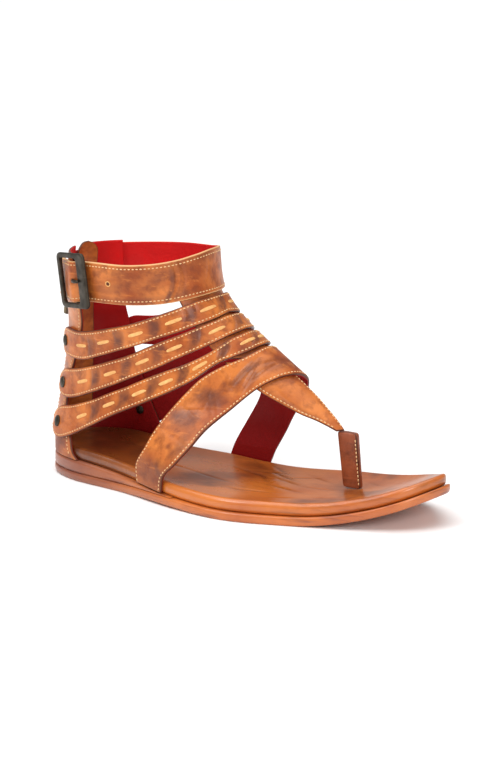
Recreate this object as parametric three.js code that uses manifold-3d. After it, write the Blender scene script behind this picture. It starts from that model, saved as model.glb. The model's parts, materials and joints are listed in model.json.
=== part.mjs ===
// Gladiator sandal, right shoe, in millimetres, +X to the toe, +Y to the inner side of the foot, +Z up.
// The origin is on the floor, under the middle of the heel.
import * as THREE from 'three';
import { mergeVertices } from 'three/addons/utils/BufferGeometryUtils.js';
import Module from 'manifold-3d';

// Driving dimensions of the sole
const length = 262;
const ballWidth = 101;
const heelWidth = 59.5;
const outsoleWall = 5;
const wedgeHeight = 7;
const footbedWall = 7;
const footbedDish = 1.6;
const footbedInset = 2.3;
const toeSpring = 19;
const archLift = 1.1;

// Driving dimensions of the upper
const collarHeight = 134;
const ankleWidth = 76;
const counterWall = 1.7;
const panelWall = 1.7;
const strapWall = 1.9;
const tapeWall = 0.8;
const guardWall = 1.2;
const tabWall = 1;
const postLength = 12.5;
const postWidth = 6;

// Driving dimensions of the fittings
const frameLength = 28;
const frameHeight = 32;
const frameWall = 2.4;
const frameBar = 2.4;
const frameFrontBar = 6.2;
const barRadius = 0.9;
const prongWidth = 2.2;
const rivetRadius = 3.3;
const shankRadius = 1.2;
const chainWidth = 4.2;
const tapeWidth = 3.2;
const sliderWidth = 8.4;
const sliderHeight = 10;
const pullWidth = 5.6;
const pullLength = 34;
const pullWall = 1.4;
const pinRadius = 0.7;

// Clearances
const gap = 0.3;
const shankGap = 0.3;
const drapeGap = 0.5;

// Where the pieces sit, as shares of the sizes that they follow
const heelSeat = 0.134 * length;
const seatInset = footbedInset - gap;
const wedgeStart = 0.115 * length;
const wedgeEnd = 0.477 * length;
const springStart = 0.706 * length;
const archStart = 0.248 * length;
const archEnd = 0.572 * length;

// The outline of the sole: along is a share of the length, across a share of the width named in its row
const outlineRows = [
  { along: 0.0, across: 0.0, width: heelWidth },
  { along: 0.034, across: -0.319, width: heelWidth },
  { along: 0.107, across: -0.513, width: heelWidth },
  { along: 0.275, across: -0.371, width: ballWidth },
  { along: 0.443, across: -0.49, width: ballWidth },
  { along: 0.592, across: -0.515, width: ballWidth },
  { along: 0.733, across: -0.401, width: ballWidth },
  { along: 0.855, across: -0.282, width: ballWidth },
  { along: 0.958, across: -0.144, width: ballWidth },
  { along: 1.0, across: 0.099, width: ballWidth },
  { along: 0.954, across: 0.277, width: ballWidth },
  { along: 0.878, across: 0.426, width: ballWidth },
  { along: 0.725, across: 0.485, width: ballWidth },
  { along: 0.573, across: 0.356, width: ballWidth },
  { along: 0.412, across: 0.322, width: ballWidth },
  { along: 0.279, across: 0.267, width: ballWidth },
  { along: 0.111, across: 0.487, width: heelWidth },
  { along: 0.032, across: 0.328, width: heelWidth },
];

// Level slices through the last: height is a share of the collar height, back and front are shares of
// the length, ridge is a share of the ball width, and each half width is a share of the ankle width,
// read behind, beside and before the middle of the slice. Sole is how far the slice keeps the outline.
const lastRows = [
  { height: 0.045, back: 0.0, front: 0.908, ridge: 0.129, sole: 1,
    outRear: 0.526, outMid: 0.605, outFore: 0.618, inRear: 0.526, inMid: 0.434, inFore: 0.632 },
  { height: 0.149, back: 0.0, front: 0.847, ridge: 0.129, sole: 1,
    outRear: 0.513, outMid: 0.579, outFore: 0.553, inRear: 0.513, inMid: 0.421, inFore: 0.539 },
  { height: 0.261, back: 0.0057, front: 0.779, ridge: 0.129, sole: 0.5,
    outRear: 0.487, outMid: 0.526, outFore: 0.447, inRear: 0.487, inMid: 0.395, inFore: 0.434 },
  { height: 0.373, back: 0.0153, front: 0.714, ridge: 0.119, sole: 0.1,
    outRear: 0.461, outMid: 0.461, outFore: 0.382, inRear: 0.461, inMid: 0.382, inFore: 0.368 },
  { height: 0.485, back: 0.0267, front: 0.637, ridge: 0.099, sole: 0,
    outRear: 0.441, outMid: 0.421, outFore: 0.355, inRear: 0.441, inMid: 0.382, inFore: 0.355 },
  { height: 0.597, back: 0.0363, front: 0.555, ridge: 0.079, sole: 0,
    outRear: 0.421, outMid: 0.414, outFore: 0.355, inRear: 0.421, inMid: 0.408, inFore: 0.368 },
  { height: 0.687, back: 0.0401, front: 0.492, ridge: 0.059, sole: 0,
    outRear: 0.421, outMid: 0.428, outFore: 0.382, inRear: 0.421, inMid: 0.434, inFore: 0.382 },
  { height: 0.776, back: 0.042, front: 0.437, ridge: 0.04, sole: 0,
    outRear: 0.434, outMid: 0.447, outFore: 0.421, inRear: 0.434, inMid: 0.447, inFore: 0.421 },
  { height: 0.866, back: 0.0477, front: 0.406, ridge: 0.02, sole: 0,
    outRear: 0.461, outMid: 0.48, outFore: 0.461, inRear: 0.461, inMid: 0.48, inFore: 0.461 },
  { height: 1.06, back: 0.0588, front: 0.391, ridge: 0.01, sole: 0,
    outRear: 0.474, outMid: 0.503, outFore: 0.487, inRear: 0.474, inMid: 0.503, inFore: 0.487 },
];

// The three laced straps: turn is the angle from the front of the leg, in degrees, and both edges are
// shares of the collar height. The same rows serve both sides of the foot.
const upperStrapRows = [
  { turn: 0, upper: 0.838, lower: 0.762 },
  { turn: 10, upper: 0.836, lower: 0.757 },
  { turn: 25, upper: 0.828, lower: 0.745 },
  { turn: 40, upper: 0.81, lower: 0.73 },
  { turn: 55, upper: 0.787, lower: 0.708 },
  { turn: 70, upper: 0.759, lower: 0.682 },
  { turn: 85, upper: 0.731, lower: 0.649 },
  { turn: 99, upper: 0.709, lower: 0.614 },
  { turn: 112, upper: 0.687, lower: 0.578 },
  { turn: 127, upper: 0.668, lower: 0.541 },
  { turn: 145, upper: 0.664, lower: 0.534 },
  { turn: 158, upper: 0.66, lower: 0.53 },
];
const middleStrapRows = [
  { turn: 0, upper: 0.753, lower: 0.696 },
  { turn: 10, upper: 0.751, lower: 0.693 },
  { turn: 25, upper: 0.74, lower: 0.683 },
  { turn: 40, upper: 0.724, lower: 0.662 },
  { turn: 55, upper: 0.7, lower: 0.634 },
  { turn: 69, upper: 0.672, lower: 0.599 },
  { turn: 82, upper: 0.638, lower: 0.557 },
  { turn: 95, upper: 0.597, lower: 0.512 },
  { turn: 107, upper: 0.563, lower: 0.464 },
  { turn: 120, upper: 0.526, lower: 0.414 },
  { turn: 135, upper: 0.492, lower: 0.363 },
  { turn: 146, upper: 0.479, lower: 0.345 },
  { turn: 158, upper: 0.468, lower: 0.338 },
];
const lowerStrapRows = [
  { turn: 0, upper: 0.687, lower: 0.634 },
  { turn: 10, upper: 0.684, lower: 0.632 },
  { turn: 25, upper: 0.673, lower: 0.62 },
  { turn: 37, upper: 0.653, lower: 0.606 },
  { turn: 47, upper: 0.63, lower: 0.589 },
  { turn: 57, upper: 0.605, lower: 0.56 },
  { turn: 70, upper: 0.57, lower: 0.51 },
  { turn: 81, upper: 0.54, lower: 0.464 },
  { turn: 92, upper: 0.502, lower: 0.416 },
  { turn: 102, upper: 0.46, lower: 0.37 },
  { turn: 112, upper: 0.42, lower: 0.323 },
  { turn: 122, upper: 0.376, lower: 0.27 },
  { turn: 136, upper: 0.329, lower: 0.2 },
  { turn: 147, upper: 0.31, lower: 0.166 },
  { turn: 158, upper: 0.3, lower: 0.155 },
];
const strapEnd = 157;
const strapEndRound = 15;
const rivetTurn = 148;
const innerTurnShare = 0.72;

// The ankle strap, from its tip behind the buckle round the front to its fixed end on the inner side
const ankleRows = [
  { turn: -170, upper: 0.963, lower: 0.783 },
  { turn: -137, upper: 0.978, lower: 0.798 },
  { turn: -120, upper: 0.991, lower: 0.811 },
  { turn: -106, upper: 1.0, lower: 0.82 },
  { turn: -90, upper: 1.003, lower: 0.825 },
  { turn: -70, upper: 0.999, lower: 0.827 },
  { turn: -50, upper: 1.004, lower: 0.831 },
  { turn: -32, upper: 1.016, lower: 0.84 },
  { turn: -15, upper: 1.031, lower: 0.849 },
  { turn: 5, upper: 1.041, lower: 0.852 },
  { turn: 30, upper: 1.033, lower: 0.847 },
  { turn: 60, upper: 1.008, lower: 0.825 },
  { turn: 90, upper: 0.997, lower: 0.815 },
  { turn: 120, upper: 0.988, lower: 0.806 },
  { turn: 152, upper: 0.985, lower: 0.804 },
];
const ankleTip = -163;
const ankleFixedEnd = 150;
const ankleTipRound = 16;
const buckleTurn = -114;
const buckleWaist = 0.07;

// The vamp strap, from the outer edge of the footbed over the foot to the inner edge. Each row gives the
// turn and height of its rear and its fore edge, and how far the wall stands on the pieces under it.
const vampRows = [
  { along: 0.0, rearTurn: -106, rear: 0.0687, foreTurn: -95.5, fore: 0.0567, under: 0 },
  { along: 0.05, rearTurn: -104, rear: 0.147, foreTurn: -92, fore: 0.127, under: 0 },
  { along: 0.11, rearTurn: -98, rear: 0.226, foreTurn: -85.5, fore: 0.187, under: 0 },
  { along: 0.17, rearTurn: -91.7, rear: 0.313, foreTurn: -78.5, fore: 0.257, under: 0.2 },
  { along: 0.23, rearTurn: -85.3, rear: 0.384, foreTurn: -71, fore: 0.333, under: 0.6 },
  { along: 0.29, rearTurn: -76.5, rear: 0.454, foreTurn: -61, fore: 0.4, under: 1 },
  { along: 0.35, rearTurn: -65.5, rear: 0.518, foreTurn: -50, fore: 0.455, under: 1 },
  { along: 0.41, rearTurn: -50.5, rear: 0.567, foreTurn: -37, fore: 0.497, under: 1 },
  { along: 0.46, rearTurn: -32, rear: 0.6, foreTurn: -22, fore: 0.521, under: 1 },
  { along: 0.51, rearTurn: -10, rear: 0.624, foreTurn: -7, fore: 0.526, under: 1 },
  { along: 0.55, rearTurn: 8, rear: 0.624, foreTurn: 7, fore: 0.518, under: 1 },
  { along: 0.6, rearTurn: 25, rear: 0.608, foreTurn: 22, fore: 0.494, under: 1 },
  { along: 0.66, rearTurn: 42, rear: 0.573, foreTurn: 38, fore: 0.451, under: 1 },
  { along: 0.72, rearTurn: 57, rear: 0.513, foreTurn: 53, fore: 0.384, under: 0.8 },
  { along: 0.79, rearTurn: 69, rear: 0.437, foreTurn: 64, fore: 0.313, under: 0.4 },
  { along: 0.86, rearTurn: 80, rear: 0.328, foreTurn: 73, fore: 0.224, under: 0.1 },
  { along: 0.93, rearTurn: 90.5, rear: 0.201, foreTurn: 80, fore: 0.142, under: 0 },
  { along: 1.0, rearTurn: 99.5, rear: 0.0597, foreTurn: 86.5, fore: 0.0537, under: 0 },
];

// Front edges of the two counters, from the top of the sole up to the collar
const outerCounterRows = [
  { height: 0.09, turn: -134 },
  { height: 0.119, turn: -137 },
  { height: 0.187, turn: -138.5 },
  { height: 0.325, turn: -146 },
  { height: 0.5, turn: -141 },
  { height: 0.716, turn: -123 },
  { height: 0.85, turn: -118 },
  { height: 0.99, turn: -117 },
];
const innerCounterRows = [
  { height: 0.09, turn: 119 },
  { height: 0.194, turn: 122.5 },
  { height: 0.295, turn: 126.5 },
  { height: 0.5, turn: 131.5 },
  { height: 0.638, turn: 132.5 },
  { height: 0.705, turn: 133.5 },
  { height: 0.899, turn: 135.5 },
  { height: 0.99, turn: 137 },
];
const counterTop = 0.988 * collarHeight;

// The panel on the instep, by the turn of its two side edges
const panelRows = [
  { height: 0.6, outer: -46.5, inner: 46 },
  { height: 0.68, outer: -43, inner: 43 },
  { height: 0.76, outer: -38.5, inner: 38 },
  { height: 0.836, outer: -35.5, inner: 34 },
  { height: 0.955, outer: -33, inner: 31 },
];
const panelBottom = 0.604 * collarHeight;
const panelTop = 0.95 * collarHeight;

// The thong, from under the vamp strap to the toe post
const thongRows = [
  { height: 0.328, outer: -14.5, inner: -6.5 },
  { height: 0.369, outer: -23, inner: -3.5 },
  { height: 0.396, outer: -30, inner: -1.5 },
  { height: 0.44, outer: -36.5, inner: 2.5 },
  { height: 0.485, outer: -41.5, inner: 5 },
  { height: 0.53, outer: -44, inner: 6.5 },
  { height: 0.59, outer: -45, inner: 7 },
];
const thongBottom = 0.33 * collarHeight;
const thongTop = 0.59 * collarHeight;

// The toe post, by the middles of its top and of its foot
const postTop = { along: 0.75, across: 0.1 };
const postFoot = { along: 0.757, across: 0.125 };

// The zip up the back, and its guard inside
const zipBottom = 0.162 * collarHeight;
const zipTop = 0.975 * collarHeight;
const sliderPlace = 0.91 * collarHeight;
const backRadius = 0.382 * ankleWidth;
const guardOuterTurn = 169;
const guardInnerTurn = 160;

// Smooth reading of a table between its rows
function readTable(table, by, at) {
  const end = table.length - 1;
  let row = 0;
  while (row < end - 1 && at > table[row + 1][by]) row += 1;
  const from = table[row];
  const to = table[row + 1];
  const span = to[by] - from[by];
  const t = (at - from[by]) / span;
  const slope = (index, key) => {
    const before = table[Math.max(index - 1, 0)];
    const after = table[Math.min(index + 1, end)];
    return (after[key] - before[key]) / (after[by] - before[by]);
  };
  const values = {};
  for (const key of Object.keys(from)) {
    values[key] = from[key] * (1 - 3 * t ** 2 + 2 * t ** 3)
      + to[key] * (3 * t ** 2 - 2 * t ** 3)
      + slope(row, key) * span * (t - 2 * t ** 2 + t ** 3)
      + slope(row + 1, key) * span * (t ** 3 - t ** 2);
  }
  return values;
}

const ease = (value) => {
  const t = THREE.MathUtils.clamp(value, 0, 1);
  return t * t * (3 - 2 * t);
};

// The sole's outline, moved inwards by an inset
const outline = new THREE.CatmullRomCurve3(
  outlineRows.map((row) => new THREE.Vector3(row.along * length, row.across * row.width, 0)),
  true,
  'centripetal',
);
function outlinePoint(share, inset) {
  const step = 0.0025;
  const point = outline.getPoint((share + 1) % 1);
  const before = outline.getPoint((share + 1 - step) % 1);
  const after = outline.getPoint((share + 1 + step) % 1);
  const run = after.sub(before).normalize();
  return new THREE.Vector3(point.x - run.y * inset, point.y + run.x * inset, 0);
}

// Levels of the sole above the floor, by the distance from the back of the heel
function floorLevel(x) {
  const spring = toeSpring * Math.max((x - springStart) / (length - springStart), 0) ** 2;
  const share = THREE.MathUtils.clamp((x - archStart) / (archEnd - archStart), 0, 1);
  return spring + archLift * Math.sin(Math.PI * share) ** 2;
}
const wedgeWall = (x) => wedgeHeight * (1 - ease((x - wedgeStart) / (wedgeEnd - wedgeStart)));
const wedgeLevel = (x) => floorLevel(x) + outsoleWall + gap;
const footbedLevel = (x) => wedgeLevel(x) + wedgeWall(x) + gap * Math.min(wedgeWall(x), 1);
const footbedTop = (x) => footbedLevel(x) + footbedWall;

// Half widths of the outline at the footbed's side, which the upper is lasted round
const outlineSteps = 200;
const sideOutline = [-1, 1].map((side) => {
  const points = [];
  for (let step = 0; step <= outlineSteps; step += 1) {
    points.push(outlinePoint((-side * step) / outlineSteps / 2, seatInset));
  }
  return points.sort((a, b) => a.x - b.x);
});
function outlineAcross(x, side) {
  const points = sideOutline[side < 0 ? 0 : 1];
  let high = points.findIndex((point) => point.x >= x);
  if (high < 0) high = points.length - 1;
  if (high === 0) return points[0].y;
  const a = points[high - 1];
  const b = points[high];
  return a.y + ((b.y - a.y) * (x - a.x)) / (b.x - a.x);
}

// A point of the last, by its turn from the front and its height. The outer side has negative turns.
function lastPoint(anyTurn, height) {
  const turn = anyTurn > 180 ? anyTurn - 360 : anyTurn;
  const row = readTable(lastRows, 'height', height / collarHeight);
  const angle = THREE.MathUtils.degToRad(Math.abs(turn));
  const side = turn > 0 ? 1 : -1;
  const [rear, mid, fore] = side > 0
    ? [row.inRear, row.inMid, row.inFore]
    : [row.outRear, row.outMid, row.outFore];
  const t = (angle - Math.PI / 2) / (Math.PI / 4);
  const half = ankleWidth * (mid + ((rear - fore) / 2) * t + ((rear + fore - 2 * mid) / 2) * t * t);
  const back = seatInset + row.back * length;
  const reach = (1 + Math.cos(angle)) / 2;
  const x = back + (row.front * length - back) * reach;
  const sole = THREE.MathUtils.clamp(row.sole, 0, 1) * ease((Math.abs(turn) - 35) / 40);
  const ridge = row.ridge * ballWidth * ease(reach);
  const free = side * half * Math.sin(angle) + ridge;
  return new THREE.Vector3(x, free * (1 - sole) + outlineAcross(x, side) * sole, height);
}
function lastNormal(turn, height) {
  const step = 0.5;
  const around = lastPoint(turn + step, height).sub(lastPoint(turn - step, height));
  const up = lastPoint(turn, height + step).sub(lastPoint(turn, height - step));
  return around.cross(up).normalize();
}
function onLast(turn, height, offset) {
  return lastPoint(turn, height).addScaledVector(lastNormal(turn, height), offset);
}

// A closed solid between two sheets of points that share their rows and columns
function shell(inner, outer) {
  const rows = inner.length;
  const columns = inner[0].length;
  const points = [...inner.flat(), ...outer.flat()];
  const at = (sheet, row, column) => sheet * rows * columns + row * columns + column;
  const faces = [];
  const quad = (a, b, c, d) => faces.push(a, b, c, a, c, d);
  for (let i = 0; i < rows - 1; i += 1) {
    for (let j = 0; j < columns - 1; j += 1) {
      quad(at(1, i, j), at(1, i + 1, j), at(1, i + 1, j + 1), at(1, i, j + 1));
      quad(at(0, i, j), at(0, i, j + 1), at(0, i + 1, j + 1), at(0, i + 1, j));
    }
    quad(at(0, i, 0), at(0, i + 1, 0), at(1, i + 1, 0), at(1, i, 0));
    quad(at(0, i + 1, columns - 1), at(0, i, columns - 1), at(1, i, columns - 1), at(1, i + 1, columns - 1));
  }
  const folded = (row) => inner[row][0].distanceTo(inner[row][columns - 1]) < 1e-3;
  for (let j = 0; j < columns - 1; j += 1) {
    if (!folded(0)) quad(at(0, 0, j + 1), at(0, 0, j), at(1, 0, j), at(1, 0, j + 1));
    if (!folded(rows - 1)) {
      quad(at(0, rows - 1, j), at(0, rows - 1, j + 1), at(1, rows - 1, j + 1), at(1, rows - 1, j));
    }
  }
  return closed(points, faces);
}

// Merges equal points, drops faces without area and turns the faces outwards
function closed(points, faces) {
  const raw = new THREE.BufferGeometry().setFromPoints(points);
  raw.setIndex(faces);
  const merged = mergeVertices(raw, 1e-4);
  const index = [...merged.index.array];
  const position = merged.attributes.position;
  const kept = [];
  let volume = 0;
  const corner = (k) => new THREE.Vector3().fromBufferAttribute(position, k);
  for (let face = 0; face < index.length; face += 3) {
    const [a, b, c] = index.slice(face, face + 3);
    if (a !== b && b !== c && c !== a) {
      kept.push(a, b, c);
      volume += corner(a).dot(corner(b).cross(corner(c)));
    }
  }
  merged.setIndex(volume < 0 ? kept.reverse() : kept);
  return merged;
}

// Cuts and joins
const kernel = await Module();
kernel.setup();
function toSolid(geometry) {
  const bare = geometry.clone();
  bare.deleteAttribute('normal');
  bare.deleteAttribute('uv');
  const merged = mergeVertices(bare, 1e-4);
  return new kernel.Manifold(new kernel.Mesh({
    numProp: 3,
    vertProperties: new Float32Array(merged.attributes.position.array),
    triVerts: new Uint32Array(merged.index.array),
  }));
}
function toGeometry(solid) {
  const mesh = solid.getMesh();
  const geometry = new THREE.BufferGeometry();
  geometry.setAttribute('position', new THREE.BufferAttribute(new Float32Array(mesh.vertProperties), 3));
  geometry.setIndex([...mesh.triVerts]);
  return geometry;
}
const cut = (geometry, tools) => toGeometry(
  tools.reduce((solid, tool) => solid.subtract(toSolid(tool)), toSolid(geometry)),
);
const join = (first, ...others) => toGeometry(
  others.reduce((solid, other) => solid.add(toSolid(other)), toSolid(first)),
);

// Leather over the last between two edges. Each station gives the turn and height of both edges, or
// its own way to place the points between them.
function leather(stations, columns, inner, wall) {
  const between = (station) => (share) => ({
    turn: THREE.MathUtils.lerp(station.turnA, station.turnB, share),
    height: THREE.MathUtils.lerp(station.heightA, station.heightB, share),
  });
  const sheet = (extra) => stations.map((station) => {
    const place = station.place ?? between(station);
    const row = [];
    for (let column = 0; column <= columns; column += 1) {
      const { turn, height } = place(column / columns);
      row.push(onLast(turn, height, inner(turn, height, station) + extra));
    }
    return row;
  });
  return shell(sheet(0), sheet(wall));
}

// Pieces of the sole: rings are insets and levels from the widest line down, or up, to the flat of the sheet
const soleSteps = 36;
function soleSheet(rings, columns, level, end) {
  const rows = [];
  for (let step = 0; step <= soleSteps; step += 1) {
    const share = Math.min((step / soleSteps) * 0.5, end);
    const sides = rings.map((ring) => [-1, 1].map((side) => {
      const point = outlinePoint(-side * share, ring.inset);
      return point.setZ(ring.level(point.x));
    }));
    const flat = sides[sides.length - 1];
    const row = sides.slice(0, -1).map((pair) => pair[0]);
    for (let column = 0; column <= columns; column += 1) {
      const point = flat[0].clone().lerp(flat[1], column / columns);
      row.push(point.setZ(level(point.x, column / columns)));
    }
    row.push(...sides.slice(0, -1).reverse().map((pair) => pair[1]));
    rows.push(row);
    if (share === end && end < 0.5) break;
  }
  return rows;
}
const ring = (inset, base, rise) => ({ inset, level: (x) => base(x) + rise });

function outsole() {
  const under = soleSheet(
    [ring(0, floorLevel, 2.4), ring(0.3, floorLevel, 1), ring(1.6, floorLevel, 0)],
    2,
    (x) => floorLevel(x),
    0.5,
  );
  const top = (x) => floorLevel(x) + outsoleWall;
  const over = soleSheet([ring(0, top, -1.6), ring(0.1, top, -0.6), ring(0.6, top, 0)], 2, top, 0.5);
  return shell(under, over);
}
function heelWedge() {
  const wall = (x) => wedgeWall(x);
  const top = (x) => wedgeLevel(x) + wall(x);
  const share = (part) => ({ inset: 0.3, level: (x) => wedgeLevel(x) + part * wall(x) });
  const frontShare = 0.2222;
  const under = soleSheet([share(0.4), ring(0.5, wedgeLevel, 0)], 2, wedgeLevel, frontShare);
  const over = soleSheet([share(0.7), ring(0.6, top, 0)], 2, top, frontShare);
  return shell(under, over);
}
function footbed() {
  const under = soleSheet(
    [
      ring(footbedInset, footbedLevel, 2.8),
      ring(footbedInset + 0.2, footbedLevel, 1.2),
      ring(footbedInset + 1, footbedLevel, 0),
    ],
    4,
    footbedLevel,
    0.5,
  );
  const dish = (x, share) => footbedTop(x) - footbedDish * (1 - (2 * share - 1) ** 4) * ease((length - x) / 40);
  const over = soleSheet(
    [
      ring(footbedInset + 0.1, footbedTop, -2.4),
      ring(footbedInset + 0.7, footbedTop, -0.9),
      ring(footbedInset + 2.6, footbedTop, 0),
    ],
    4,
    dish,
    0.5,
  );
  return shell(under, over);
}

// Pieces of the upper
const strapOffset = panelWall + drapeGap;

function roundedEnd(distance, radius) {
  const t = THREE.MathUtils.clamp(1 - distance / radius, 0, 0.97);
  return Math.sqrt(1 - t * t);
}
const endShares = [0.03, 0.14, 0.32, 0.6, 1];

function lacedStrap(rows) {
  const turns = endShares.map((share) => strapEnd - share * strapEndRound);
  const rest = strapEnd - strapEndRound;
  const steps = 20;
  for (let step = 1; step <= steps; step += 1) turns.push(rest * (1 - step / steps));
  const station = (turn, side) => {
    const { upper, lower } = readTable(rows, 'turn', turn);
    const middle = (upper + lower) / 2;
    const half = ((upper - lower) / 2) * roundedEnd(strapEnd - turn, strapEndRound);
    const sideTurn = side < 0 ? -turn : innerTurn(turn);
    return {
      turnA: sideTurn,
      turnB: sideTurn,
      heightA: (middle - half) * collarHeight,
      heightB: (middle + half) * collarHeight,
    };
  };
  const outer = turns.map((turn) => station(turn, -1));
  const inner = turns.slice(0, -1).reverse().map((turn) => station(turn, 1));
  return leather([...outer, ...inner], 2, () => strapOffset, strapWall);
}
const innerTurn = (turn) => (turn < 90 ? turn : 90 + (turn - 90) * innerTurnShare);

// The ankle strap lies on the counters and rises over the bar of the buckle
const buckleTab = tabWall + gap;
const barLevel = 3.1;
const strapOverBar = barLevel + barRadius + 2.4;
function buckleDistance(turn) {
  const here = lastPoint(turn, sliderPlace);
  const bar = lastPoint(buckleTurn, sliderPlace);
  return Math.sign(turn - buckleTurn) * here.distanceTo(bar);
}
function ankleLift(turn) {
  const distance = buckleDistance(turn);
  const base = strapOffset + buckleTab * ease(-distance / 6);
  return base + (strapOverBar - strapOffset - buckleTab / 2) * Math.exp(-((distance / 4.6) ** 2));
}
function ankleStation(turn) {
  const { upper, lower } = readTable(ankleRows, 'turn', turn);
  const middle = (upper + lower) / 2;
  const waist = 1 - buckleWaist * Math.exp(-((buckleDistance(turn) / frameLength) ** 2));
  const half = ((upper - lower) / 2) * waist * roundedEnd(turn - ankleTip, ankleTipRound);
  return {
    turnA: turn,
    turnB: turn,
    heightA: (middle - half) * collarHeight,
    heightB: (middle + half) * collarHeight,
  };
}
function ankleStrap() {
  const turns = endShares.map((share) => ankleTip + share * ankleTipRound);
  const fine = 24;
  const coarse = 30;
  const start = ankleTip + ankleTipRound;
  const middle = buckleTurn + 30;
  for (let step = 1; step <= fine; step += 1) turns.push(start + ((middle - start) * step) / fine);
  for (let step = 1; step <= coarse; step += 1) {
    turns.push(middle + ((ankleFixedEnd - middle) * step) / coarse);
  }
  const strap = leather(turns.map(ankleStation), 4, ankleLift, strapWall);
  const slot = new THREE.BoxGeometry(6.4, prongWidth + 2 * gap, 12).translate(2, 0, barLevel + 3);
  return cut(strap, [slot.applyMatrix4(buckleFrameMatrix())]);
}

// The place of the buckle: x along the strap to the front, y up, z out of the leather
function buckleFrameMatrix() {
  const at = (turn) => {
    const { upper, lower } = readTable(ankleRows, 'turn', turn);
    return lastPoint(turn, ((upper + lower) / 2) * collarHeight);
  };
  const middle = at(buckleTurn);
  const along = at(buckleTurn + 8).sub(at(buckleTurn - 8)).normalize();
  const out = lastNormal(buckleTurn, middle.z);
  const up = out.clone().cross(along).normalize();
  out.crossVectors(along, up);
  return new THREE.Matrix4().makeBasis(along, up, out).setPosition(middle);
}

const strapStations = (from, to, steps, make) => {
  const list = [];
  for (let step = 0; step <= steps; step += 1) list.push(make(from + ((to - from) * step) / steps));
  return list;
};

function vampStrap() {
  const stations = strapStations(0, 1, 44, (along) => {
    const row = readTable(vampRows, 'along', along);
    return {
      turnA: row.foreTurn,
      turnB: row.rearTurn,
      heightA: row.fore * collarHeight,
      heightB: row.rear * collarHeight,
      under: THREE.MathUtils.clamp(row.under, 0, 1) * strapOffset,
    };
  });
  return leather(stations, 4, (turn, height, station) => station.under, strapWall);
}
function patch(rows, bottom, top, steps, columns, inner, wall) {
  const stations = strapStations(bottom, top, steps, (height) => {
    const row = readTable(rows, 'height', height / collarHeight);
    return { turnA: row.outer, turnB: row.inner, heightA: height, heightB: height };
  });
  return leather(stations, columns, () => inner, wall);
}
const instepPanel = () => patch(panelRows, panelBottom, panelTop, 10, 8, 0, panelWall);
const toeThong = () => patch(thongRows, thongBottom, thongTop, 10, 4, 0, panelWall);

// Degrees of turn across a distance at the back of the heel
const backTurn = (distance) => THREE.MathUtils.radToDeg(distance / backRadius);
const zipEdge = chainWidth / 2 + gap + tapeWidth + gap;

function counter(rows, side) {
  const stations = strapStations(0, 1, 15, (rise) => {
    const level = THREE.MathUtils.lerp(counterFoot(seatInset), counterTop, rise);
    const front = readTable(rows, 'height', level / collarHeight).turn;
    const place = (share) => {
      const turn = THREE.MathUtils.lerp(side * (180 - backTurn(zipEdge)), front, share);
      const foot = counterFoot(lastPoint(turn, level).x);
      return { turn, height: THREE.MathUtils.lerp(foot, counterTop, rise) };
    };
    return { place };
  });
  return leather(stations, 8, () => 0, counterWall);
}
const counterFoot = (x) => wedgeLevel(x) + wedgeWall(x) + gap;

function zipTape(side) {
  const near = backTurn(chainWidth / 2 + gap);
  const far = backTurn(chainWidth / 2 + gap + tapeWidth);
  const stations = strapStations(zipBottom, zipTop, 14, (height) => ({
    turnA: 180 + side * near,
    turnB: 180 + side * far,
    heightA: height,
    heightB: height,
  }));
  return leather(stations, 1, () => (counterWall - tapeWall) / 2, tapeWall);
}
function zipChain() {
  const half = backTurn(chainWidth / 2);
  const top = sliderPlace - sliderHeight / 2 - gap;
  const stations = strapStations(zipBottom, top, 14, (height) => ({
    turnA: 180 - half,
    turnB: 180 + half,
    heightA: height,
    heightB: height,
  }));
  return leather(stations, 2, () => 0, counterWall);
}
function zipGuard() {
  const foot = footbedTop(seatInset) + gap;
  const stations = strapStations(foot, counterTop, 16, (height) => {
    const half = roundedEnd(counterTop - height, 6);
    const middle = (360 - guardOuterTurn + guardInnerTurn) / 2;
    const reach = (360 - guardOuterTurn - guardInnerTurn) / 2;
    return {
      turnA: middle - reach * half,
      turnB: middle + reach * half,
      heightA: height,
      heightB: height,
    };
  });
  return leather(stations, 6, () => -drapeGap - guardWall, guardWall);
}
function toePost() {
  const foot = new THREE.Vector3(postFoot.along * length, postFoot.across * ballWidth, 0);
  foot.z = footbedTop(foot.x) - footbedDish + 0.6 + gap;
  const top = new THREE.Vector3(postTop.along * length, postTop.across * ballWidth, thongBottom - gap);
  const corner = 0.32;
  const loop = [[1, corner], [1, -corner], [0.86, -1], [-0.86, -1], [-1, -corner], [-1, corner], [-0.86, 1], [0.86, 1]];
  const sheet = (from, to) => [0, 0.5, 1].map((share) => {
    const middle = foot.clone().lerp(top, share);
    const scale = THREE.MathUtils.lerp(0.8, 1, share);
    return loop.slice(from, to).map(([x, y]) => new THREE.Vector3(
      middle.x + (x * scale * postLength) / 2,
      middle.y + (y * scale * postWidth) / 2,
      middle.z,
    ));
  });
  return shell(sheet(0, 4), sheet(4, 8).map((row) => row.reverse()));
}

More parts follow.
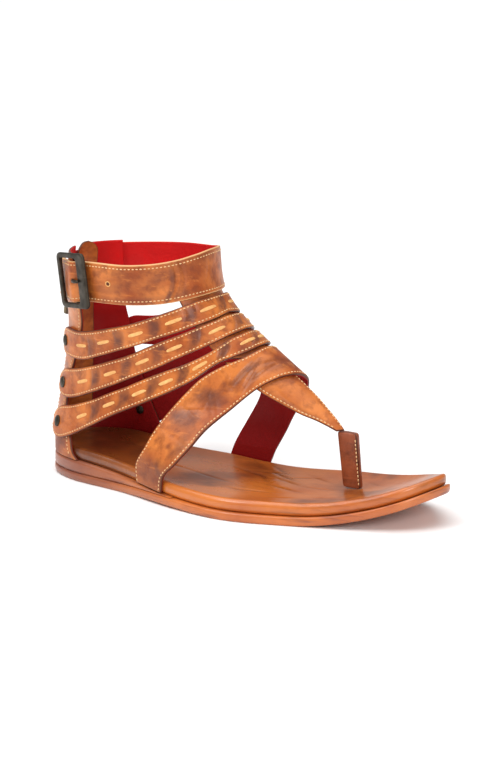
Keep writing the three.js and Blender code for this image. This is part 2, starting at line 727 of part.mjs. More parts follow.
// Fittings
function rivetMatrix(turn, height) {
  const out = lastNormal(turn, height);
  const turnTo = new THREE.Quaternion().setFromUnitVectors(new THREE.Vector3(0, 1, 0), out);
  return new THREE.Matrix4().compose(lastPoint(turn, height), turnTo, new THREE.Vector3(1, 1, 1));
}
function rivet() {
  const base = strapOffset + strapWall + shankGap;
  const washer = -shankGap;
  const profile = [
    [0, washer - 0.8],
    [2.6, washer - 0.8],
    [2.6, washer],
    [shankRadius, washer],
    [shankRadius, base],
    [rivetRadius, base],
    [rivetRadius * 0.86, base + 0.9],
    [rivetRadius * 0.5, base + 1.4],
    [0, base + 1.6],
  ];
  return new THREE.LatheGeometry(profile.map(([x, y]) => new THREE.Vector2(x, y)), 12);
}
function rivetHole(turn, height) {
  const hole = new THREE.CylinderGeometry(shankRadius + shankGap, shankRadius + shankGap, 14, 12);
  return hole.applyMatrix4(rivetMatrix(turn, height));
}
function roundedRect(width, height, radius, Kind) {
  const shape = new Kind();
  const x = width / 2;
  const y = height / 2;
  shape.moveTo(-x + radius, -y);
  shape.lineTo(x - radius, -y);
  shape.quadraticCurveTo(x, -y, x, -y + radius);
  shape.lineTo(x, y - radius);
  shape.quadraticCurveTo(x, y, x - radius, y);
  shape.lineTo(-x + radius, y);
  shape.quadraticCurveTo(-x, y, -x, y - radius);
  shape.lineTo(-x, -y + radius);
  shape.quadraticCurveTo(-x, -y, -x + radius, -y);
  return shape;
}
const frameLevel = 4.7;
function buckleFrame() {
  const outer = roundedRect(frameLength, frameHeight, 4, THREE.Shape);
  const plate = new THREE.ExtrudeGeometry(outer, { depth: frameWall, bevelEnabled: false, curveSegments: 4 });
  const windowLength = frameLength - frameBar - frameFrontBar;
  const windowHeight = frameHeight - 2 * frameBar;
  const opening = new THREE.ExtrudeGeometry(
    roundedRect(windowLength, windowHeight, 1.2, THREE.Shape),
    { depth: frameWall + 2, bevelEnabled: false, curveSegments: 2 },
  );
  opening.translate((frameBar - frameFrontBar) / 2, 0, -1);
  const ring = cut(plate, [opening]).translate(0, 0, frameLevel);
  const bar = new THREE.CylinderGeometry(barRadius, barRadius, frameHeight - 1, 10).translate(0, 0, barLevel);
  const earHeight = frameLevel + 0.6 - (barLevel - barRadius);
  const ears = [-1, 1].map((side) => new THREE.BoxGeometry(3, frameBar - 0.5, earHeight).translate(
    0,
    side * (frameHeight / 2 - frameBar / 2),
    barLevel - barRadius + earHeight / 2,
  ));
  return join(ring, bar, ...ears).applyMatrix4(buckleFrameMatrix());
}
function buckleProng() {
  const inner = barRadius + gap;
  const outer = inner + 0.7;
  const over = frameLevel + frameWall + gap;
  const side = new THREE.Shape();
  side.moveTo(-outer, 0);
  side.absarc(0, 0, outer, Math.PI, Math.PI * 0.55, true);
  side.lineTo(3.6, over - barLevel + 0.2);
  side.lineTo(5.6, over - barLevel + 1);
  side.lineTo(10.2, over - barLevel + 0.8);
  side.lineTo(10.8, over - barLevel);
  side.lineTo(6, over - barLevel);
  side.lineTo(4.4, over - barLevel - 0.7);
  side.lineTo(inner, 0.6);
  side.lineTo(inner, 0);
  side.absarc(0, 0, inner, 0, Math.PI, false);
  const prong = new THREE.ExtrudeGeometry(side, { depth: prongWidth, bevelEnabled: false, curveSegments: 6 });
  prong.translate(0, 0, -prongWidth / 2).rotateX(Math.PI / 2).translate(0, 0, barLevel);
  return prong.applyMatrix4(buckleFrameMatrix());
}
function buckleTabPiece() {
  const stations = strapStations(-168, buckleTurn - 4.5, 12, (turn) => {
    const { upper, lower } = readTable(ankleRows, 'turn', turn);
    const middle = (upper + lower) / 2;
    const half = (upper - lower) * 0.36;
    return {
      turnA: turn,
      turnB: turn,
      heightA: (middle - half) * collarHeight,
      heightB: (middle + half) * collarHeight,
    };
  });
  return leather(stations, 2, () => strapOffset, tabWall);
}

// The slider's own frame: x across the zip, y up the zip, z out of the back
function sliderMatrix() {
  const middle = lastPoint(180, sliderPlace);
  const up = lastPoint(180, sliderPlace + 4).sub(lastPoint(180, sliderPlace - 4)).normalize();
  const across = new THREE.Vector3(0, -1, 0);
  const out = new THREE.Vector3().crossVectors(across, up);
  return new THREE.Matrix4().makeBasis(across, up, out).setPosition(middle);
}
const plateLevel = counterWall + gap;
const pinLevel = plateLevel + 3.8;
const pinHeight = 2;
const lugGap = 1.3;
function zipSlider() {
  const shield = new THREE.Shape();
  const half = sliderWidth / 2;
  const tall = sliderHeight / 2;
  shield.moveTo(-half * 0.55, -tall);
  shield.lineTo(half * 0.55, -tall);
  shield.lineTo(half, tall * 0.3);
  shield.quadraticCurveTo(half, tall, half * 0.3, tall);
  shield.lineTo(-half * 0.3, tall);
  shield.quadraticCurveTo(-half, tall, -half, tall * 0.3);
  const plate = new THREE.ExtrudeGeometry(shield, { depth: 1.2, bevelEnabled: false, curveSegments: 4 });
  plate.translate(0, 0, plateLevel);
  const core = new THREE.BoxGeometry(chainWidth, sliderHeight * 0.9, plateLevel + 0.4);
  core.translate(0, 0, (plateLevel + 0.4) / 2 + 0.1);
  const lugs = [-1, 1].map((side) => new THREE.BoxGeometry(1, 3.2, 5).translate(
    side * (lugGap + 0.5),
    pinHeight,
    plateLevel + 2.7,
  ));
  const pin = new THREE.CylinderGeometry(pinRadius, pinRadius, 2 * lugGap + 1.4, 10);
  pin.rotateZ(Math.PI / 2).translate(0, pinHeight, pinLevel);
  return join(plate, core, ...lugs, pin).applyMatrix4(sliderMatrix());
}
const pullTilt = 2;
function zipPull() {
  const eye = new THREE.CylinderGeometry(pinRadius + 1.3, pinRadius + 1.3, 2 * (lugGap - gap), 12);
  const hole = new THREE.CylinderGeometry(pinRadius + gap, pinRadius + gap, 6, 12);
  const neck = new THREE.BoxGeometry(2 * (lugGap - gap), 5, pullWall).translate(0, -pinRadius - 3.4, 0);
  const tab = roundedRect(pullWidth, pullLength - 5, 2.4, THREE.Shape);
  const blade = new THREE.ExtrudeGeometry(tab, { depth: pullWall, bevelEnabled: false, curveSegments: 4 });
  blade.translate(0, -5 - (pullLength - 5) / 2, -pullWall / 2);
  const lying = join(eye.rotateZ(Math.PI / 2), neck, blade);
  const pierced = cut(lying, [hole.rotateZ(Math.PI / 2)]);
  pierced.rotateX(THREE.MathUtils.degToRad(-pullTilt)).translate(0, pinHeight, pinLevel);
  return pierced.applyMatrix4(sliderMatrix());
}

// Finishes
const finish = (color, roughness, metalness) => new THREE.MeshStandardMaterial({ color, roughness, metalness });
const tanLeather = finish(0xc0743c, 0.5, 0);
const soleLeather = finish(0xb4622c, 0.45, 0);
const footbedLeather = finish(0xa8582a, 0.35, 0);
const liningLeather = finish(0xb01818, 0.7, 0);
const zipCloth = finish(0x8c1418, 0.9, 0);
const darkMetal = finish(0x3c3a34, 0.4, 0.9);

// The assembly
const sandal = new THREE.Group();
sandal.position.x = -heelSeat;
const sole = new THREE.Group();
const upper = new THREE.Group();
const fittings = new THREE.Group();
sandal.add(sole, upper, fittings);
function piece(group, name, geometry, material) {
  const mesh = new THREE.Mesh(geometry, material);
  mesh.name = name;
  group.add(mesh);
  return mesh;
}

piece(sole, 'outsole', outsole(), soleLeather);
piece(sole, 'heel_wedge', heelWedge(), soleLeather);
piece(sole, 'footbed', footbed(), footbedLeather);

const straps = [
  { name: 'strap_upper', rows: upperStrapRows },
  { name: 'strap_middle', rows: middleStrapRows },
  { name: 'strap_lower', rows: lowerStrapRows },
];
const rivets = straps.flatMap(({ rows }, index) => [
  { name: `rivet_lateral_${index + 1}`, turn: -rivetTurn },
  { name: `rivet_medial_${index + 1}`, turn: innerTurn(rivetTurn) },
].map(({ name, turn }) => {
  const { upper: high, lower: low } = readTable(rows, 'turn', rivetTurn);
  return { name, turn, height: ((high + low) / 2) * collarHeight, index };
}));
const holesWhere = (test) => rivets.filter(test).map(({ turn, height }) => rivetHole(turn, height));

const outerCounter = cut(counter(outerCounterRows, -1), holesWhere(({ turn }) => turn < 0));
const innerCounter = cut(counter(innerCounterRows, 1), holesWhere(({ turn }) => turn > 0));
piece(upper, 'counter_lateral', outerCounter, tanLeather);
piece(upper, 'counter_medial', innerCounter, tanLeather);
straps.forEach(({ name, rows }, index) => {
  const strap = cut(lacedStrap(rows), holesWhere((hole) => hole.index === index));
  piece(upper, name, strap, tanLeather);
});
piece(upper, 'instep_panel', instepPanel(), tanLeather);
piece(upper, 'vamp_strap', vampStrap(), tanLeather);
piece(upper, 'toe_thong', toeThong(), tanLeather);
piece(upper, 'toe_post', toePost(), tanLeather);
piece(upper, 'ankle_strap', ankleStrap(), tanLeather);
piece(upper, 'buckle_tab', buckleTabPiece(), tanLeather);
piece(upper, 'zip_guard', zipGuard(), liningLeather);
piece(upper, 'zip_tape_lateral', zipTape(1), zipCloth);
piece(upper, 'zip_tape_medial', zipTape(-1), zipCloth);

piece(fittings, 'zip_chain', zipChain(), darkMetal);
piece(fittings, 'zip_slider', zipSlider(), darkMetal);
piece(fittings, 'zip_pull', zipPull(), darkMetal);
piece(fittings, 'buckle_frame', buckleFrame(), darkMetal);
piece(fittings, 'buckle_prong', buckleProng(), darkMetal);
for (const { name, turn, height } of rivets) {
  const head = piece(fittings, name, rivet(), darkMetal);
  head.applyMatrix4(rivetMatrix(turn, height));
}

export default sandal;
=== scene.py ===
# %% [markdown]
# # A tan gladiator sandal
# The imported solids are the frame: a sole in three layers, a heel cup in two halves with a zip between
# them, three laced straps, a vamp strap, a toe thong and a buckled ankle strap. This lesson dresses that
# frame. Each leather piece is made again as a fine sheet over the same last, with soft edges, creases
# and a red lining, then it is stitched, laced, riveted and given its finish.

import json

import bmesh
import bpy
import numpy as np
from mathutils import Matrix, Vector

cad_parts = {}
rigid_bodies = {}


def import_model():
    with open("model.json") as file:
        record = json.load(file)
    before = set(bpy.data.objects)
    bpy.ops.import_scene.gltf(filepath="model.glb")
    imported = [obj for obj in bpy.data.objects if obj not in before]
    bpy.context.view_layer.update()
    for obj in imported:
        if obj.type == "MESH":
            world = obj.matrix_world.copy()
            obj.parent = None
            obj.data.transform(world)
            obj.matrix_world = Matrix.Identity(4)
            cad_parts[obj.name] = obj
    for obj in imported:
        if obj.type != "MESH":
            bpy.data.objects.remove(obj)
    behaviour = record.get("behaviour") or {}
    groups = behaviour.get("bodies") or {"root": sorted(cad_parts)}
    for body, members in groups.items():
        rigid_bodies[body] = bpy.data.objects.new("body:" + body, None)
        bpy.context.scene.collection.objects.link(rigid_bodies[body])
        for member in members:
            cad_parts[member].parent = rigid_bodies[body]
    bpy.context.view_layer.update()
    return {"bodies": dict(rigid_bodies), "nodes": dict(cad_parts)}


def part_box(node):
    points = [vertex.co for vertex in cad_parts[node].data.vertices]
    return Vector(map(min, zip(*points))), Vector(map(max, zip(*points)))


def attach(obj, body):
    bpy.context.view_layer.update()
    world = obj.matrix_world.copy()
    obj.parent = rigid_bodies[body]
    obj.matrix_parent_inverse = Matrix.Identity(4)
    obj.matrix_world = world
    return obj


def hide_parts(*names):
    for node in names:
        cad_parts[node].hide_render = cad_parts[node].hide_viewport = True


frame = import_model()

# %% [markdown]
# ## The sizes
# Nearly everything follows from the length of the sole, which is read from the frame. The few others
# are those that a maker notes for this last: the ball, the heel, the ankle and the height of the collar.

# %% Driving sizes, in metres
mm = 0.001
sole_low, sole_high = (np.array(corner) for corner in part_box("outsole"))
length = sole_high[0] - sole_low[0]
heel_seat = -sole_low[0]
ball_width = 101 * mm
heel_width = 59.5 * mm
ankle_width = 76 * mm
collar_height = 134 * mm
outsole_wall = 5 * mm
wedge_height = 7 * mm
footbed_wall = 7 * mm
footbed_dish = 1.6 * mm
footbed_inset = 2.3 * mm
toe_spring = 19 * mm
arch_lift = 1.1 * mm
gap = 0.3 * mm
drape_gap = 0.5 * mm
counter_wall = 1.7 * mm
strap_wall = 1.9 * mm
strap_offset = counter_wall + drape_gap
print("length", round(length / mm, 1), "mm, heel seat", round(heel_seat / mm, 1), "mm")

# %% [markdown]
# ## The outline and the layers of the sole
# The outline is one closed smooth curve through points given as shares of the length and the widths.
# The level of the floor side rises to the toe and lifts a little under the arch.

# %% Outline and levels
outline_rows = np.array([
    # share of length, share of width, 1 for the heel's width and 0 for the ball's
    (0.0, 0.0, 1), (0.034, -0.319, 1), (0.107, -0.513, 1), (0.275, -0.371, 0), (0.443, -0.49, 0),
    (0.592, -0.515, 0), (0.733, -0.401, 0), (0.855, -0.282, 0), (0.958, -0.144, 0), (1.0, 0.099, 0),
    (0.954, 0.277, 0), (0.878, 0.426, 0), (0.725, 0.485, 0), (0.573, 0.356, 0), (0.412, 0.322, 0),
    (0.279, 0.267, 0), (0.111, 0.487, 1), (0.032, 0.328, 1),
])
outline_points = np.column_stack([
    outline_rows[:, 0] * length,
    outline_rows[:, 1] * np.where(outline_rows[:, 2] > 0, heel_width, ball_width),
])


def outline(share, inset):
    """Points of the closed outline at shares 0 to 1 of it, moved inwards by inset. Between two given
    points runs a cubic whose end slopes come from the points on both sides, spaced by the square
    root of their distance."""
    def curve(share):
        place = (share % 1) * len(outline_points)
        first = np.floor(place).astype(int)
        t = (place - first)[:, None]
        a, b, c, d = (outline_points[(first + k) % len(outline_points)] for k in (-1, 0, 1, 2))
        ab, bc, cd = (np.linalg.norm(q - p, axis=1)[:, None] ** 0.5 for p, q in ((a, b), (b, c), (c, d)))
        start = ((b - a) / ab - (c - a) / (ab + bc) + (c - b) / bc) * bc
        end = ((c - b) / bc - (d - b) / (bc + cd) + (d - c) / cd) * bc
        return b + t * start + t**2 * (3 * (c - b) - 2 * start - end) + t**3 * (2 * (b - c) + start + end)

    share = np.asarray(share, float)
    run = curve(share + 0.0025) - curve(share - 0.0025)
    run /= np.linalg.norm(run, axis=1)[:, None]
    return curve(share) + np.column_stack([-run[:, 1], run[:, 0]]) * inset


def ease(value):
    """0 below 0, 1 above 1, and the smooth step 3t^2 - 2t^3 between."""
    t = np.clip(value, 0, 1)
    return t * t * (3 - 2 * t)


def floor_level(x):
    """The floor side of the sole: a parabola up to the toe, and half a wave under the arch."""
    spring = toe_spring * np.maximum((x - 0.706 * length) / (0.294 * length), 0) ** 2
    share = np.clip((x - 0.248 * length) / (0.324 * length), 0, 1)
    return spring + arch_lift * np.sin(np.pi * share) ** 2


def wedge_wall(x):
    """The lift under the heel, which eases out under the arch."""
    return wedge_height * (1 - ease((x - 0.115 * length) / (0.362 * length)))


def wedge_level(x):
    return floor_level(x) + outsole_wall + gap


def footbed_level(x):
    return wedge_level(x) + wedge_wall(x) + np.minimum(wedge_wall(x) / mm, 1) * gap


def footbed_top(x):
    return footbed_level(x) + footbed_wall


# %% [markdown]
# ## The last
# Leather takes the shape of the foot's form, the last. It is given by level slices. Each slice has a
# back, a front and three half widths on each side, and low slices keep to the sole's outline. A place
# on it is a turn from the front, in degrees, negative on the outer side, and a height.

# %% Slices of the last
last_rows = np.array([
    # height, back, front, ridge, outer rear, mid, fore, inner rear, mid, fore, how far it keeps the outline
    (0.045, 0.0, 0.908, 0.129, 0.526, 0.605, 0.618, 0.526, 0.434, 0.632, 1),
    (0.149, 0.0, 0.847, 0.129, 0.513, 0.579, 0.553, 0.513, 0.421, 0.539, 1),
    (0.261, 0.0057, 0.779, 0.129, 0.487, 0.526, 0.447, 0.487, 0.395, 0.434, 0.5),
    (0.373, 0.0153, 0.714, 0.119, 0.461, 0.461, 0.382, 0.461, 0.382, 0.368, 0.1),
    (0.485, 0.0267, 0.637, 0.099, 0.441, 0.421, 0.355, 0.441, 0.382, 0.355, 0),
    (0.597, 0.0363, 0.555, 0.079, 0.421, 0.414, 0.355, 0.421, 0.408, 0.368, 0),
    (0.687, 0.0401, 0.492, 0.059, 0.421, 0.428, 0.382, 0.421, 0.434, 0.382, 0),
    (0.776, 0.042, 0.437, 0.04, 0.434, 0.447, 0.421, 0.434, 0.447, 0.421, 0),
    (0.866, 0.0477, 0.406, 0.02, 0.461, 0.48, 0.461, 0.461, 0.48, 0.461, 0),
    (1.06, 0.0588, 0.391, 0.01, 0.474, 0.503, 0.487, 0.474, 0.503, 0.487, 0),
])


def read_rows(rows, at):
    """Values of a table at places of its first column, by cubics with the slope of the neighbours."""
    at = np.asarray(at, float)
    x, y = rows[:, 0], rows[:, 1:]
    slope = np.empty_like(y)
    slope[1:-1] = (y[2:] - y[:-2]) / (x[2:] - x[:-2])[:, None]
    slope[0] = (y[1] - y[0]) / (x[1] - x[0])
    slope[-1] = (y[-1] - y[-2]) / (x[-1] - x[-2])
    low = np.clip(np.searchsorted(x, at, side="right") - 1, 0, len(x) - 2)
    span = (x[low + 1] - x[low])[..., None]
    t = (at - x[low])[..., None] / span
    return (y[low] * (1 - 3 * t**2 + 2 * t**3) + y[low + 1] * (3 * t**2 - 2 * t**3)
            + slope[low] * span * (t - 2 * t**2 + t**3) + slope[low + 1] * span * (t**3 - t**2))


seat_inset = footbed_inset - gap
half_outline = np.linspace(0, 0.5, 201)
side_outline = {side: outline(-side * half_outline, seat_inset) for side in (-1, 1)}
for points in side_outline.values():
    points[:] = points[np.argsort(points[:, 0])]


def last_point(turn, height):
    """Points of the last: x runs from a slice's back to its front as half of one plus the cosine of
    the turn, and y is the half width times its sine, blended into the sole's outline low down."""
    turn, height = np.broadcast_arrays(np.asarray(turn, float), np.asarray(height, float))
    turn = np.where(turn > 180, turn - 360, turn)
    row = read_rows(last_rows, height / collar_height)
    angle = np.radians(np.abs(turn))
    inner = turn > 0
    rear, mid, fore = (np.where(inner, row[..., 6 + k], row[..., 3 + k]) for k in range(3))
    t = (angle - np.pi / 2) / (np.pi / 4)
    half = ankle_width * (mid + (rear - fore) / 2 * t + (rear + fore - 2 * mid) / 2 * t * t)
    back = seat_inset + row[..., 0] * length
    reach = (1 + np.cos(angle)) / 2
    x = back + (row[..., 1] * length - back) * reach
    sole = np.clip(row[..., 9], 0, 1) * ease((np.abs(turn) - 35) / 40)
    free = np.where(inner, 1, -1) * half * np.sin(angle) + row[..., 2] * ball_width * ease(reach)
    edge = np.where(inner, np.interp(x, *side_outline[1].T), np.interp(x, *side_outline[-1].T))
    return np.stack([x - heel_seat, free * (1 - sole) + edge * sole, height], axis=-1)


def last_normal(turn, height):
    """Outward directions: the cross product of the steps round the last and up it."""
    around = last_point(turn + 0.5, height) - last_point(turn - 0.5, height)
    up = last_point(turn, height + 0.5 * mm) - last_point(turn, height - 0.5 * mm)
    out = np.cross(around, up)
    return out / np.linalg.norm(out, axis=-1, keepdims=True)


def on_last(turn, height, offset):
    return last_point(turn, height) + last_normal(turn, height) * np.asarray(offset)[..., None]


# %% [markdown]
# ## From grids to meshes
# Every sheet of leather is two grids of points, one for each face, joined round their border. The mesh
# also keeps a few numbers at each vertex for the finish: which face it is on, how far it is from a cut
# edge, and where the leather is darkened, as dark patches and as painted shade in creases and hollows.

# %% Mesh helpers
shoe_body = next(name for name in frame["bodies"] if name != "zip_pull")
finished = {}


def make_piece(name, points, faces, material, nodes=(), slot=None, merge=0.0, marks=None, body=shoe_body):
    """One mesh object from an array of points and an array of faces, riding on a body."""
    mesh = bpy.data.meshes.new(name)
    mesh.from_pydata(np.asarray(points).tolist(), [], faces if isinstance(faces, list) else faces.tolist())
    for key, values in (marks or {}).items():
        layer = mesh.attributes.new(key, "FLOAT", "POINT")
        layer.data.foreach_set("value", np.asarray(values, np.float32).ravel())
    work = bmesh.new()
    work.from_mesh(mesh)
    if merge:
        bmesh.ops.remove_doubles(work, verts=work.verts, dist=merge)
        bmesh.ops.dissolve_degenerate(work, dist=merge / 10, edges=work.edges)
        bmesh.ops.recalc_face_normals(work, faces=work.faces)
    if sum(face.calc_area() * face.normal.dot(face.calc_center_median()) for face in work.faces) < 0:
        bmesh.ops.reverse_faces(work, faces=work.faces)
    work.to_mesh(mesh)
    work.free()
    mesh.shade_smooth()
    mesh.materials.append(material)
    piece = bpy.data.objects.new(name, mesh)
    bpy.context.scene.collection.objects.link(piece)
    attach(piece, body)
    if nodes:
        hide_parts(*nodes)
    finished[name] = len(mesh.polygons)
    return piece


def grid_faces(rows, columns, start=0, flip=False):
    """Four-cornered faces of a grid of points stored row by row."""
    i, j = np.meshgrid(np.arange(rows - 1), np.arange(columns - 1), indexing="ij")
    a = (start + i * columns + j).ravel()
    quads = np.column_stack([a, a + columns, a + columns + 1, a + 1])
    return quads[:, ::-1] if flip else quads


def closed_faces(rows, columns):
    """Faces of two stacked grids and of the wall that joins their borders."""
    count = rows * columns
    index = np.arange(count).reshape(rows, columns)
    loop = np.concatenate([index[0, :], index[1:, -1], index[-1, -2::-1], index[-2:0:-1, 0]])
    ahead = np.roll(loop, -1)
    wall = np.column_stack([loop, ahead, ahead + count, loop + count])
    return np.vstack([grid_faces(rows, columns, 0, True), grid_faces(rows, columns, count), wall])


def tube_faces(rings, sides, looped=False, flip=False):
    """Four-cornered faces between rings of points, each closed on itself. A looped tube also joins its
    last ring to its first."""
    i, j = np.meshgrid(np.arange(rings if looped else rings - 1), np.arange(sides), indexing="ij")
    here, ahead = i * sides, (i + 1) % rings * sides
    beside = (j + 1) % sides
    quads = np.column_stack([part.ravel() for part in (here + j, ahead + j, ahead + beside, here + beside)])
    return quads[:, [0, 3, 2, 1]] if flip else quads


def squarish(wave, power):
    """A sine or cosine bent towards a square: its size is raised to 2 over the power, with its sign."""
    return np.sign(wave) * np.abs(wave) ** (2 / power)


def unit(vectors):
    return vectors / np.linalg.norm(vectors, axis=-1, keepdims=True)


def path_length(points, axis):
    """Running length of a grid of points along one of its axes."""
    steps = np.linalg.norm(np.diff(points, axis=axis), axis=-1)
    start = np.zeros_like(np.take(steps, [0], axis=axis))
    return np.concatenate([start, np.cumsum(steps, axis=axis)], axis=axis)


def border_shares(count, width, edge=0.7 * mm):
    """Shares from 0 to 1 that lie close together near both ends, where the edge is rounded."""
    near = np.array([0, 0.06, 0.22, 0.5, 1.0, 1.7]) * edge / width
    return np.concatenate([near, np.linspace(near[-1], 1 - near[-1], count)[1:-1], 1 - near[::-1]])


# %% [markdown]
# A crease is a soft trough that a maker's hand, or a foot, has pressed into the leather. Each one has a
# middle, a direction, a length, a width and a depth. Its depth fades along it and across it.

# %% Creases and sheets
def bells(along, across, rows, power):
    """Sum of a few marks: a bell across each line, times a bell along it. Rows hold the middle (along,
    across), the direction in degrees, the length, the width and the strength, in millimetres."""
    total = np.zeros_like(along)
    for middle_along, middle_across, angle, reach, width, strength in rows:
        c, s = np.cos(np.radians(angle)), np.sin(np.radians(angle))
        u, v = along / mm - middle_along, across / mm - middle_across
        run, off = u * c + v * s, v * c - u * s
        total += strength * np.exp(-((off / width) ** power)) * np.exp(-((run / reach * 2) ** power))
    return total


def troughs(along, across, rows):
    """Depth of a few creases, whose strength is a depth in millimetres."""
    return bells(along, across, rows, 2) * mm


def patches(along, across, rows):
    """Dark marks, with the fourth power in both bells, so that a mark is nearly square."""
    return bells(along, across, rows, 4)


def leather_sheet(name, turn, height, inner, wall, material, nodes, slot="tan_leather", creases=(),
                  dark=(), edge=0.7 * mm, swell=0.0, lined=True):
    """Leather over the last: two sheets at the inner offset and a wall further out. Near a border both
    bend together along a quarter circle. Creases are pressed into the outer sheet, and swell makes
    the sheet fuller in its middle. A lined sheet has a red inner face, and another is tan all over."""
    inner = np.broadcast_to(inner, turn.shape)
    flat = on_last(turn, height, inner + wall)
    along, across = path_length(flat, 0), path_length(flat, 1)
    rim = np.minimum(np.minimum(along, along[-1:] - along), np.minimum(across, across[:, -1:] - across))
    bend = edge * (1 - np.sqrt(1 - np.clip(1 - rim / edge, 0, 1) ** 2))
    press = troughs(along, across, creases)
    lift = swell * np.sqrt(np.clip(rim / (4 * mm), 0, 1)) - press
    outer_sheet = on_last(turn, height, inner + wall - bend + lift)
    inner_sheet = on_last(turn, height, inner + 0.5 * bend)
    marks = {
        "lining": np.concatenate([np.full(turn.size, float(lined)), np.zeros(turn.size)]),
        "rim": np.concatenate([rim.ravel(), rim.ravel()]) / mm,
        # dark: dark patches, and painted shade where a piece lays its marks in creases, hollows and holes
        "dark": np.concatenate([np.zeros(turn.size), patches(along, across, dark).ravel()]),
    }
    points = np.concatenate([inner_sheet.reshape(-1, 3), outer_sheet.reshape(-1, 3)])
    print(name, "flat about", round(along[-1].mean() / mm), "x", round(across[:, -1].max() / mm), "mm")
    return make_piece(name, points, closed_faces(*turn.shape), material, nodes, slot, 0.01 * mm, marks)


# %% [markdown]
# ## Shader groups
# Three effects come up on more than one finish, so each is a node group: the cloudy tone of pull-up
# leather, its fine grain, and the light scratches that use leaves.

# %% Node helpers
def add_node(tree, kind, inputs=None, **settings):
    """A node with settings, whose inputs take either a value or another node's output."""
    made = tree.nodes.new(kind)
    for key, value in settings.items():
        setattr(made, key, value)
    for key, value in (inputs or {}).items():
        if isinstance(value, bpy.types.NodeSocket):
            tree.links.new(value, made.inputs[key])
        else:
            made.inputs[key].default_value = value
    return made


def maths(tree, operation, a, b=0.0, clamp=False):
    return add_node(tree, "ShaderNodeMath", {0: a, 1: b}, operation=operation, use_clamp=clamp).outputs[0]


def blend_colour(tree, factor, a, b):
    """Colour a where the factor is 0, and colour b where it is 1."""
    return add_node(tree, "ShaderNodeMix", {0: factor, 6: a, 7: b}, data_type="RGBA").outputs[2]


def span(tree, value, low, high, out_low=0.0, out_high=1.0):
    """The value's share between low and high, kept between 0 and 1, or between the two given limits."""
    return add_node(tree, "ShaderNodeMapRange", {
        "Value": value, "From Min": low, "From Max": high, "To Min": out_low, "To Max": out_high,
    }).outputs[0]


def new_group(name, inputs, output):
    group = bpy.data.node_groups.new(name, "ShaderNodeTree")
    group.interface.new_socket("Vector", in_out="INPUT", socket_type="NodeSocketVector")
    for key, value in inputs.items():
        socket = group.interface.new_socket(key, in_out="INPUT", socket_type="NodeSocketFloat")
        socket.default_value = value
    group.interface.new_socket(output, in_out="OUTPUT", socket_type="NodeSocketFloat")
    return group, group.nodes.new("NodeGroupInput"), group.nodes.new("NodeGroupOutput")


# %% The groups
def make_clouds():
    """Cloudy tone: noise bent by a slower noise, stretched to a share between 0 and 1."""
    group, start, end = new_group("cloudy tone", {"Scale": 30.0, "Contrast": 1.0}, "Mask")
    place = start.outputs["Vector"]
    slow = add_node(group, "ShaderNodeTexNoise", {"Vector": place, "Scale": 18.0, "Detail": 2.0})
    bent = add_node(group, "ShaderNodeVectorMath", {0: slow.outputs["Color"], "Scale": 0.02},
                    operation="SCALE")
    moved = add_node(group, "ShaderNodeVectorMath", {0: place, 1: bent.outputs[0]}, operation="ADD")
    noise = add_node(group, "ShaderNodeTexNoise", {
        "Vector": moved.outputs[0], "Scale": start.outputs["Scale"], "Detail": 5.0, "Roughness": 0.55,
    })
    centred = maths(group, "SUBTRACT", noise.outputs["Fac"], 0.5)
    spread = maths(group, "MULTIPLY", centred, start.outputs["Contrast"])
    mask = maths(group, "ADD", spread, 0.5, clamp=True)
    group.links.new(mask, end.inputs["Mask"])
    return group


def make_grain():
    """Leather grain: small cells, softened by a finer noise."""
    group, start, end = new_group("leather grain", {"Scale": 900.0}, "Height")
    place = start.outputs["Vector"]
    cells = add_node(group, "ShaderNodeTexVoronoi", {
        "Vector": place, "Scale": start.outputs["Scale"], "Randomness": 1.0,
    }, feature="SMOOTH_F1")
    fine = add_node(group, "ShaderNodeTexNoise", {"Vector": place, "Scale": 2400.0, "Detail": 3.0})
    finer = maths(group, "MULTIPLY", fine.outputs["Fac"], 0.35)
    total = maths(group, "ADD", cells.outputs["Distance"], finer)
    group.links.new(total, end.inputs["Height"])
    return group


def make_scratches():
    """Light scratches: noise drawn out long one way, of which only the thin crests are kept."""
    group, start, end = new_group("light scratches", {"Scale": 220.0, "Amount": 0.5}, "Mask")
    drawn = add_node(group, "ShaderNodeMapping", {
        "Vector": start.outputs["Vector"], "Scale": (0.16, 0.5, 1.0), "Rotation": (0.3, 0.5, 0.4),
    })
    noise = add_node(group, "ShaderNodeTexNoise", {
        "Vector": drawn.outputs[0], "Scale": start.outputs["Scale"], "Detail": 4.0, "Roughness": 0.65,
    })
    crest = span(group, noise.outputs["Fac"], 0.57, 0.72)
    mask = maths(group, "MULTIPLY", crest, start.outputs["Amount"])
    group.links.new(mask, end.inputs["Mask"])
    return group


clouds, grain, scratches = make_clouds(), make_grain(), make_scratches()


def use_group(tree, group, **inputs):
    return add_node(tree, "ShaderNodeGroup", inputs, node_tree=group).outputs[0]


# %% [markdown]
# ## Finishes
# The upper is pull-up leather: warm tan, darker and redder at dark patches and where painted shade lies
# in creases, hollows and holes, paler where it is stretched, with a soft shine. Its inside is dyed red,
# darkened low in the shoe by painted shade, and its cut edges are left dark.

# %% Leather finishes
def start_material(name, **constants):
    material = bpy.data.materials.new(name)
    material.use_nodes = True
    tree = material.node_tree
    shader = tree.nodes["Principled BSDF"]
    for key, value in constants.items():
        shader.inputs[key.replace("_", " ")].default_value = value
    place = add_node(tree, "ShaderNodeTexCoord").outputs["Object"]
    return material, tree, shader, place


def attribute(tree, name):
    return add_node(tree, "ShaderNodeAttribute", attribute_name=name).outputs["Fac"]


def set_bump(tree, shader, height, distance, strength=1.0):
    bump = add_node(tree, "ShaderNodeBump", {"Height": height, "Distance": distance, "Strength": strength})
    tree.links.new(bump.outputs[0], shader.inputs["Normal"])


